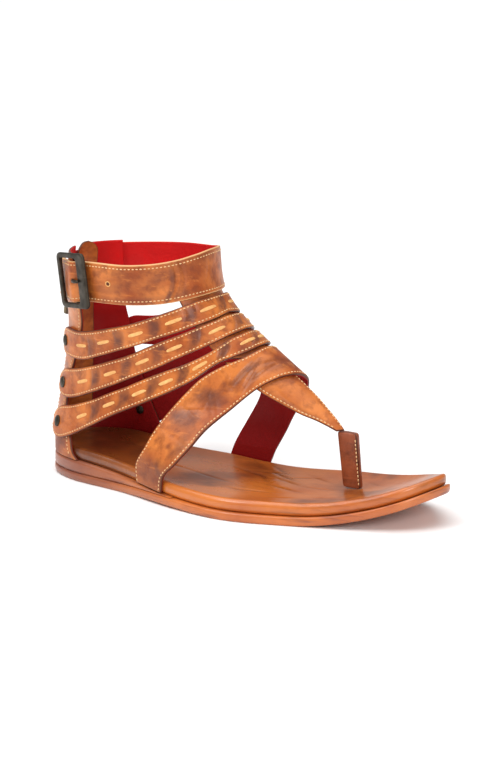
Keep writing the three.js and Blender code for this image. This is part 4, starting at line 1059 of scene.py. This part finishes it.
band_sheet("vamp_strap_leather", vamp, tan_leather, ["vamp_strap"], 22 * mm, 360, 30, swell=0.15 * mm,
           creases=[(62, 12, 60, 26, 1.3, 0.4), (66, 10, 52, 24, 1.1, 0.35), (79, 14, 70, 22, 1.2, 0.4),
                    (90, 9, 24, 24, 1.0, 0.8), (93, 15, 14, 26, 1.0, 0.8), (99, 8, 8, 22, 0.9, 0.7),
                    (57, 14, 120, 16, 0.9, 0.25), (64, 15, 30, 14, 0.7, 0.4), (61, 12, 62, 26, 0.9, -0.2),
                    (52, 12, 75, 20, 1.1, 0.3), (110, 12, -10, 20, 1.2, 0.4), (84, 18, 44, 14, 1.0, 0.3),
                    (36, 12, 82, 18, 1.2, 0.2), (140, 12, 60, 24, 1.2, 0.3)],
           # The dark marks that lie on creases, from 34 to 112 mm along, are painted shade in them.
           dark=[(49, 16, 80, 16, 5, 0.9), (67, 15, 90, 18, 5.5, 0.9), (92, 14, 12, 26, 2.2, 0.85),
                 (90, 7, 20, 18, 2, 0.6), (12, 10, 90, 30, 8, 0.6), (34, 6, 10, 20, 3, 0.45),
                 (112, 10, 0, 26, 5, 0.6)])


# %% [markdown]
# A panel on the instep joins the straps, and the thong tapers from the vamp strap to the toes.

# %% Panel, thong and buckle tab
def height_patch(rows, bottom, top, stations, columns, width):
    """Turns and heights of a patch whose two side edges are given by height."""
    height = bottom + (top - bottom) * border_shares(stations, top - bottom)[:, None]
    edges = read_rows(rows, height[:, 0] / collar_height)
    share = border_shares(columns, width)[None, :]
    turn = edges[:, :1] + (edges[:, 1:] - edges[:, :1]) * share
    return turn, height + 0 * turn


panel_rows = np.array([
    # height, turn of the outer edge, turn of the inner edge
    (0.6, -46.5, 46), (0.68, -43, 43), (0.76, -38.5, 38), (0.836, -35.5, 34), (0.955, -33, 31),
])
thong_rows = np.array([
    (0.328, -14.5, -6.5), (0.369, -23, -3.5), (0.396, -30, -1.5), (0.44, -36.5, 2.5), (0.485, -41.5, 5),
    (0.53, -44, 6.5), (0.59, -45, 7),
])
panel_low, panel_high = 0.604 * collar_height, 0.95 * collar_height
panel_turn, panel_height = height_patch(panel_rows, panel_low, panel_high, 50, 40, 40 * mm)
leather_sheet("instep_panel_leather", panel_turn, panel_height, 0.0, counter_wall, tan_leather,
              ["instep_panel"], dark=[(10, 20, 0, 20, 8, 0.4)])
thong_low, thong_high = 0.33 * collar_height, 0.59 * collar_height
thong_turn, thong_height = height_patch(thong_rows, thong_low, thong_high, 60, 26, 14 * mm)
leather_sheet("toe_thong_leather", thong_turn, thong_height, 0.0, counter_wall, tan_leather, ["toe_thong"],
              swell=0.1 * mm,
              creases=[(30, 6, 20, 20, 1.2, 0.3), (18, 4, 0, 14, 1, 0.25), (38, 9, 30, 14, 1, 0.3)],
              # Its dark marks lie on its creases, as painted shade in them.
              dark=[(30, 4, 0, 26, 3, 0.4), (14, 3, 0, 16, 2, 0.4)])

tab_turns = np.linspace(-168, buckle_turn - 4.5, 60)
tab_upper, tab_lower = read_rows(ankle_rows, tab_turns).T * collar_height
tab_middle, tab_half = (tab_upper + tab_lower) / 2, (tab_upper - tab_lower) * 0.36
tab = band(tab_turns, tab_middle - tab_half, tab_turns, tab_middle + tab_half, strap_offset, 1 * mm)
band_sheet("buckle_tab_leather", tab, tan_leather, ["buckle_tab"], 17 * mm, 60, 10, edge=0.4 * mm)

# %% [markdown]
# ## The toe post
# A strip of leather is folded round and sewn along its front outer corner, where a raised seam runs
# from the thong down to the footbed. Its plan is a rounded block with that seam added.

# %% Toe post
post_length, post_width = 12.5 * mm, 6 * mm
post_foot = np.array([0.757 * length, 0.125 * ball_width])
post_top = np.array([0.75 * length, 0.1 * ball_width])
post_levels = (footbed_top(post_foot[0]) - footbed_dish + 0.6 * mm + gap, thong_low - gap)
post_squareness, seam_height, groove_depth = 3.2, 0.9 * mm, 0.5 * mm
seam_angle = np.radians(-42)
groove_angle = seam_angle + 0.42
around = np.linspace(0, 2 * np.pi, 96, endpoint=False)
rise = border_shares(40, post_levels[1] - post_levels[0], 0.8 * mm)


def round_bell(angles, middle, width):
    """A bell round a ring: it is 1 at its middle angle, and fades with the shorter way round from it."""
    return np.exp(-((np.angle(np.exp(1j * (angles - middle))) / width) ** 2))


def post_scale(share):
    """The post grows a little from the footbed to the thong."""
    return 0.94 + 0.08 * share


seam = seam_height * round_bell(around, seam_angle, 0.16)
groove = groove_depth * round_bell(around, groove_angle, 0.12)
closing = 1 - 0.1 * np.exp(-np.minimum(rise, 1 - rise)[:, None] * 60)
radial = (1 + (seam - groove) / (post_length / 2))[None, :] * post_scale(rise[:, None]) * closing
plan_x = squarish(np.cos(around), post_squareness) * post_length / 2 * radial
plan_y = squarish(np.sin(around), post_squareness) * post_width / 2 * radial
centre = post_foot + (post_top - post_foot) * rise[:, None]
post_heights = (post_levels[0] + (post_levels[1] - post_levels[0]) * rise)[:, None]
post_points = np.stack([
    centre[:, :1] - heel_seat + plan_x, centre[:, 1:] + plan_y, post_heights + 0 * plan_x,
], -1)
count, sides = post_points.shape[:2]
post_faces = tube_faces(count, sides, flip=True).tolist()
post_faces += [list(range(sides))[::-1], list(range((count - 1) * sides, count * sides))]
# The groove beside the seam is painted darker: painted shade in the groove.
post_dark = round_bell(around, groove_angle, 0.2)[None, :] * np.ones((count, 1))
post_marks = {"dark": post_dark, "rim": np.full(count * sides, 9.0), "lining": np.zeros(count * sides)}
make_piece("toe_post_leather", post_points.reshape(-1, 3), post_faces, post_leather, ["toe_post"],
           "tan_leather", 0.005 * mm, post_marks)

# %% [markdown]
# ## Stitching and lacing
# A stitch is a short thread that dips at both ends. One small shape is copied along every sewn edge,
# a set distance inside it. The lace's dashes are the same idea, wider and longer.

# %% Stitches
stitch_pitch, stitch_length, stitch_width, stitch_height = 2.3 * mm, 1.8 * mm, 0.7 * mm, 0.55 * mm
stitch_shape = block_template((stitch_length, stitch_width, stitch_height), 2, 2.6)


def along_path(points, out, pitch, trim=2 * mm):
    """Places at an even pitch along a path, with its direction and the leather's outward direction."""
    def pick(values, at):
        return np.column_stack([np.interp(at, run, values[:, k]) for k in range(3)])

    run = path_length(points, 0)
    at = np.arange(trim, run[-1] - trim, pitch)
    middle = pick(points, at)
    return middle, unit(pick(points, at + 0.3 * mm) - middle), unit(pick(out, at))


def sewn_edge(strip, margin, high, start=0.0, end=1.0, lift=0.12 * mm):
    """The line of a seam at a margin from one edge of a band."""
    station = np.linspace(start, end, 900)
    low_edge, high_edge = band_point(strip, station, 0.0), band_point(strip, station, 1.0)
    width = np.linalg.norm(high_edge - low_edge, axis=1)
    share = np.clip(margin / width, 0, 0.5)
    share = 1 - share if high else share
    turn, height, _ = band_place(strip, station, share)
    return band_point(strip, station, share, lift), last_normal(turn, height)


def patch_edge(rows, bottom, top, side, margin, lift=0.1 * mm):
    """A seam beside one side edge of a patch that is given by height."""
    height = np.linspace(bottom, top, 300)
    edges = read_rows(rows, height / collar_height)
    inwards = np.degrees(margin / (30 * mm))
    turn = edges[:, 0] + inwards if side < 0 else edges[:, 1] - inwards
    return on_last(turn, height, counter_wall + lift), last_normal(turn, height)


margin, ankle_margin = 1.5 * mm, 2.3 * mm
seams = []
for strip in straps.values():
    seams += [sewn_edge(strip, margin, high) for high in (False, True)]
seams += [sewn_edge(ankle, ankle_margin, high, 0.02, 1.0) for high in (False, True)]
seams += [sewn_edge(vamp, margin, high) for high in (False, True)]
thong_margin = np.interp(np.linspace(0, 1, 300), (0, 0.12, 1), (0.5, 1, 1)) * 1.4 * mm
for side in (-1, 1):
    seams.append(patch_edge(thong_rows, thong_low + mm, thong_high, side, thong_margin))
for rows, side in ((outer_counter_rows, -1), (inner_counter_rows, 1)):
    level = np.linspace(counter_foot(seat_inset) + 2 * mm, counter_top - 2 * mm, 300)
    turn = read_rows(rows, level / collar_height)[:, 0]
    turn = turn + side * np.degrees(margin / (34 * mm))
    seams.append((on_last(turn, level, counter_wall + 0.1 * mm), last_normal(turn, level)))
    zip_line = side * (180 - back_turn(zip_edge + margin)) + 0 * level
    seams.append((on_last(zip_line, level, counter_wall + 0.1 * mm), last_normal(zip_line, level)))
sewn = [along_path(*line, stitch_pitch) for line in seams]
places, directions, outs = (np.concatenate(part) for part in zip(*sewn))
stitch_points, stitch_faces = copies(stitch_shape, places, directions, outs, bend=0.35 * mm)
make_piece("edge_stitching", stitch_points, stitch_faces, cream_thread, merge=0.002 * mm)
print("stitches", len(places))

# %% [markdown]
# The open hole in front of the buckle has a pale, slightly raised rim where the punch has frayed it. It
# is a thin ring: a small circle carried round a larger one that lies on the strap.

# %% Rim of the open hole
rim_steps, wire_steps, rim_radius, wire_radius = 36, 8, 1.35, 0.28
ring_turn, wire_turn = np.meshgrid(np.linspace(0, 2 * np.pi, rim_steps, endpoint=False),
                                   np.linspace(0, 2 * np.pi, wire_steps, endpoint=False), indexing="ij")
hole_station = station_of_turn(ankle, open_hole_turn)
hole_middle = band_point(ankle, hole_station, 0.5)
hole_run = unit(band_point(ankle, hole_station + 0.002, 0.5) - hole_middle)
hole_rise = unit(band_point(ankle, hole_station, 0.52) - hole_middle)
hole_out = np.cross(hole_run, hole_rise)
reach = (rim_radius + wire_radius * np.cos(wire_turn)) * mm
hole_rim = (hole_middle + (reach * np.cos(ring_turn))[..., None] * hole_run
            + (reach * np.sin(ring_turn))[..., None] * hole_rise
            + (wire_radius * mm * np.sin(wire_turn) + 0.1 * mm)[..., None] * hole_out)
make_piece("hole_rim", hole_rim.reshape(-1, 3), tube_faces(rim_steps, wire_steps, looped=True), lace_hide)

# %% [markdown]
# The folded post is sewn down its raised corner. The line of its stitches is that corner of the plan,
# which moves and grows with the post.

# %% Post seam
seam_rise = np.linspace(0.06, 0.97, 200)
seam_centre = post_foot + (post_top - post_foot) * seam_rise[:, None]
corner = np.array([squarish(np.cos(seam_angle), post_squareness) * (post_length / 2 + seam_height),
                   squarish(np.sin(seam_angle), post_squareness) * (post_width / 2 + seam_height / 2)])
seam_line = np.column_stack([
    seam_centre[:, 0] - heel_seat + corner[0] * post_scale(seam_rise),
    seam_centre[:, 1] + corner[1] * post_scale(seam_rise),
    post_levels[0] + (post_levels[1] - post_levels[0]) * seam_rise])
seam_out = np.tile(unit(np.array([0.35, -0.94, 0.0])), (len(seam_rise), 1))
seam_places = along_path(seam_line, seam_out, stitch_pitch, 1 * mm)
post_stitches = copies(block_template((1.8 * mm, 0.7 * mm, 0.6 * mm), 2, 2.6), *seam_places, bend=0.25 * mm)
make_piece("post_stitching", *post_stitches, cream_thread, merge=0.002 * mm)

# %% [markdown]
# The lace shows as flat pale dashes along the middle of each laced strap, one on each of the places that
# were marked when the straps were tucked. A dash turns with the strap and dips at both ends.

# %% Lace dashes
dash_length, dash_width, dash_height = 11.5 * mm, 2.1 * mm, 1.3 * mm
laced = []
for label, strip in straps.items():
    before, centre_line, behind = (band_point(strip, strap_middles[label] + step, 0.5, 0.1 * mm)
                                   for step in (0.002, 0, -0.002))
    turn, height, _ = band_place(strip, strap_middles[label], 0.5)
    laced.append((centre_line, unit(before - behind), last_normal(turn, height)))
dash_places, dash_along, dash_out = (np.concatenate(part) for part in zip(*laced))
dash_out = unit(dash_out - (dash_out * dash_along).sum(1, keepdims=True) * dash_along)
dash_points, dash_faces = copies(block_template((dash_length, dash_width, dash_height), 5, 2.8),
                                 dash_places, dash_along, dash_out, bend=0.75 * mm)
make_piece("lace_dashes", dash_points, dash_faces, lace_hide, merge=0.002 * mm)
print("dashes", len(dash_places))

# %% [markdown]
# ## Buckle and rivets
# The buckle is a rounded frame with one broad bar. Its ring is a rounded section carried round between
# an outer and an inner outline. The prong is a tapering round bar along a bent path. A rivet is a low
# dome turned about its own axis.


# %% Buckle
def rounded_outline(angles, width, height, radius):
    """A rectangle with round corners: the point of a smaller rectangle, plus a circle of the radius."""
    direction = np.column_stack([np.cos(angles), np.sin(angles)])
    inner_half = np.array([width / 2 - radius, height / 2 - radius])
    reach = np.minimum(inner_half[0] / np.maximum(np.abs(direction[:, 0]), 1e-6),
                       inner_half[1] / np.maximum(np.abs(direction[:, 1]), 1e-6))
    box = np.clip(direction * (reach[:, None] + radius), -inner_half, inner_half)
    away = direction * (reach[:, None] + radius) - box
    size = np.linalg.norm(away, axis=1, keepdims=True)
    return box + np.where(size > 1e-9, away / np.maximum(size, 1e-9), direction) * radius


buckle_turns = buckle_turn + np.array([-8, 0, 8])
upper_mid, lower_mid = read_rows(ankle_rows, buckle_turns).T
mid_heights = (upper_mid + lower_mid) / 2 * collar_height
behind, centre, before = last_point(buckle_turns, mid_heights)
frame_along = unit(before - behind)
frame_out = last_normal(buckle_turn, mid_heights[1])
frame_up = unit(np.cross(frame_out, frame_along))
frame_out = np.cross(frame_along, frame_up)


def at_buckle(points):
    """Points of the buckle's own frame: along the strap, up, and out of the leather."""
    return centre + points[..., :1] * frame_along + points[..., 1:2] * frame_up + points[..., 2:] * frame_out


frame_level, frame_wall, frame_bar, front_bar = 4.7 * mm, 2.4 * mm, 3.0 * mm, 8.6 * mm
longer_by, outer_round, window_round = 1.5 * mm, 3.2 * mm, 1.6 * mm
ring_steps, section_steps = 240, 24
angles = np.linspace(0, 2 * np.pi, ring_steps, endpoint=False)
window_size = (frame_length + longer_by - frame_bar - front_bar, frame_height - 2 * frame_bar)
outer_line = rounded_outline(angles, frame_length + longer_by, frame_height, outer_round)
outer_line = outer_line + np.array([longer_by / 2, 0])
window = rounded_outline(angles, *window_size, window_round)
window = window + np.array([longer_by / 2 + (frame_bar - front_bar) / 2, 0])
section = np.linspace(0, 2 * np.pi, section_steps, endpoint=False)
section_across = (1 + squarish(np.cos(section), 5.0)) / 2
section_up = frame_level + frame_wall * (1 + squarish(np.sin(section), 4.0)) / 2
ring_plan = window[:, None] + (outer_line - window)[:, None] * section_across[None, :, None]
ring = np.concatenate([ring_plan, np.broadcast_to(section_up[None, :, None], ring_plan.shape[:2] + (1,))], -1)
ring_faces = tube_faces(ring_steps, section_steps, looped=True)


def round_bar(path, radii, sides=14):
    """A round bar along a path: rings square to it, with a radius at each point, and closed ends."""
    path = np.asarray(path, float)
    run = unit(np.gradient(path, axis=0))
    side = np.cross(run, [0.0, 0.0, 1.0])
    side = unit(np.where(np.linalg.norm(side, axis=1, keepdims=True) < 0.2, [1.0, 0.0, 0.0], side))
    other = np.cross(run, side)
    turn = np.linspace(0, 2 * np.pi, sides, endpoint=False)
    ring = side[:, None] * np.cos(turn)[None, :, None] + other[:, None] * np.sin(turn)[None, :, None]
    points = path[:, None] + ring * np.asarray(radii)[:, None, None]
    rings = len(path)
    faces = tube_faces(rings, sides, flip=True).tolist()
    faces += [list(range(sides))[::-1], list(range((rings - 1) * sides, rings * sides))]
    return points.reshape(-1, 3), faces


bar_reach, bar_steps = frame_height / 2 - 1.5 * mm, 12
bar_path = np.column_stack([np.zeros(bar_steps), np.linspace(-bar_reach, bar_reach, bar_steps),
                            np.full(bar_steps, bar_level)])
bar_path[[0, -1], 2] = frame_level + 0.6 * mm
bar_points, bar_faces = round_bar(bar_path, np.full(bar_steps, bar_radius))
frame_points = np.concatenate([at_buckle(ring.reshape(-1, 3)), at_buckle(bar_points)])
make_piece("buckle_frame_metal", frame_points,
           ring_faces.tolist() + [[k + len(ring_faces) for k in face] for face in bar_faces],
           gunmetal, ["buckle_frame"], "buckle_metal")

prong_knots = np.array([
    # along the strap and out of it, in millimetres
    (-1.4, 2.4), (-1.0, 4.4), (0.8, 6.4), (3.2, 7.6), (5.6, 8.2), (8.4, 8.3), (9.6, 7.8),
]) * mm
knot = np.linspace(0, 1, len(prong_knots))
fine = np.linspace(0, 1, 40)
prong_path = np.column_stack([np.interp(fine, knot, prong_knots[:, 0]), 0 * fine,
                              np.interp(fine, knot, prong_knots[:, 1])])
prong_path[1:-1] = (prong_path[:-2] + prong_path[1:-1] + prong_path[2:]) / 3
prong_radius = np.interp(fine, (0, 0.5, 0.9, 1), (1.1, 1.1, 0.95, 0.5)) * mm
prong_points, prong_faces = round_bar(prong_path, prong_radius)
make_piece("buckle_prong_metal", at_buckle(prong_points), prong_faces, gunmetal, ["buckle_prong"],
           "buckle_metal")


# %% Rivets
def turned(profile, sides=40):
    """A shape turned about its axis: profile rows are radius and height."""
    profile = np.asarray(profile) * mm
    turn = np.linspace(0, 2 * np.pi, sides, endpoint=False)
    points = np.stack([profile[:, :1] * np.cos(turn), profile[:, :1] * np.sin(turn),
                       profile[:, 1:] + 0 * turn], -1).reshape(-1, 3)
    return points, tube_faces(len(profile), sides, flip=True)


rivet_base = (strap_offset + strap_wall) / mm
rivet_shape = turned([(0, -1.0), (2.5, -1.0), (2.6, -0.6), (2.3, -0.2), (1.1, -0.2), (1.1, rivet_base - 0.2),
                      (3.1, rivet_base - 0.1), (3.35, rivet_base + 0.3), (3.2, rivet_base + 0.8),
                      (2.75, rivet_base + 1.05), (2.5, rivet_base + 0.95), (2.3, rivet_base + 1.1),
                      (1.4, rivet_base + 1.45), (0, rivet_base + 1.6)])
rivet_turns, rivet_heights = [], []
for rows in (upper_rows, middle_rows, lower_rows):
    high, low = read_rows(rows, np.array([rivet_turn]))[0]
    rivet_turns += [-rivet_turn, float(inner_turn(np.array(rivet_turn)))]
    rivet_heights += [(high + low) / 2 * collar_height] * 2
rivet_turns, rivet_heights = np.array(rivet_turns), np.array(rivet_heights)
rivet_up = unit(last_point(rivet_turns, rivet_heights + mm) - last_point(rivet_turns, rivet_heights - mm))
rivet_out = last_normal(rivet_turns, rivet_heights)
rivet_up = unit(rivet_up - (rivet_up * rivet_out).sum(1, keepdims=True) * rivet_out)
rivet_points, rivet_faces = copies(rivet_shape, last_point(rivet_turns, rivet_heights), rivet_up, rivet_out)
make_piece("rivets", rivet_points, rivet_faces, gunmetal,
           [f"rivet_{side}_{k}" for side in ("lateral", "medial") for k in (1, 2, 3)], "buckle_metal",
           0.002 * mm)

# %% [markdown]
# ## The studio
# The sandal stands on a pale floor under broad soft lights, seen from the outer side and a little above.
# The camera has the photograph's direction, distance and framing.

# %% Floor, lights and camera
floor_material, tree, shader, place = start_material("pale floor", Roughness=0.85)
shader.inputs["Base Color"].default_value = (0.95, 0.95, 0.95, 1)
floor_mesh = bpy.data.meshes.new("floor")
floor_reach = 12.0
floor_corners = [(x * floor_reach, y * floor_reach, 0) for x, y in ((-1, -1), (1, -1), (1, 1), (-1, 1))]
floor_mesh.from_pydata(floor_corners, [], [(0, 1, 2, 3)])
floor_mesh.materials.append(floor_material)
floor = bpy.data.objects.new("floor", floor_mesh)
bpy.context.scene.collection.objects.link(floor)

world = bpy.data.worlds.new("studio")
bpy.context.scene.world = world
world.use_nodes = True
world.node_tree.nodes["Background"].inputs["Color"].default_value = (1, 1, 1, 1)
world.node_tree.nodes["Background"].inputs["Strength"].default_value = 0.36
bpy.context.scene.view_settings.view_transform = "Standard"


def soft_light(name, place, target, size, power):
    """A square light that faces a target."""
    data = bpy.data.lights.new(name, "AREA")
    data.size = size
    data.energy = power
    light = bpy.data.objects.new(name, data)
    light.location = place
    light.rotation_euler = (Vector(target) - Vector(place)).to_track_quat("-Z", "Y").to_euler()
    bpy.context.scene.collection.objects.link(light)


shoe_middle = (0.08, 0, 0.05)
soft_light("key", (-0.5, -1.4, 1.3), shoe_middle, 0.7, 13)
soft_light("front", (1.3, -0.8, 0.7), shoe_middle, 0.45, 9)

sky_data = bpy.data.lights.new("sky", "SUN")
sky_data.energy = 2.4
sky_data.angle = np.radians(70)
sky = bpy.data.objects.new("sky", sky_data)
sky.rotation_euler = Vector((0.12, 0.1, -1)).to_track_quat("-Z", "Y").to_euler()
bpy.context.scene.collection.objects.link(sky)

azimuth, elevation, distance = np.radians(35), np.radians(13.61), 1.619
focal_pixels, image_width, image_height = 2838.0, 500, 767
middle_x, middle_y = 240.81, 409.47
target = np.array([130 * mm - heel_seat, 0, 50 * mm])
backwards = np.array([
    np.sin(azimuth) * np.cos(elevation), -np.cos(azimuth) * np.cos(elevation), np.sin(elevation),
])
camera_data = bpy.data.cameras.new("camera")
camera_data.sensor_width = 36
camera_data.lens = focal_pixels / image_height * camera_data.sensor_width
camera_data.shift_x = (image_width / 2 - middle_x) / image_height
camera_data.shift_y = (middle_y - image_height / 2) / image_height
camera = bpy.data.objects.new("camera", camera_data)
camera.location = target + backwards * distance
camera.rotation_euler = Vector(-backwards).to_track_quat("-Z", "Y").to_euler()
bpy.context.scene.collection.objects.link(camera)
bpy.context.scene.camera = camera

# %% [markdown]
# At the end the number of triangles of the dressed parts is printed.

# %% Count the triangles
print("triangles about", 2 * sum(finished.values()))
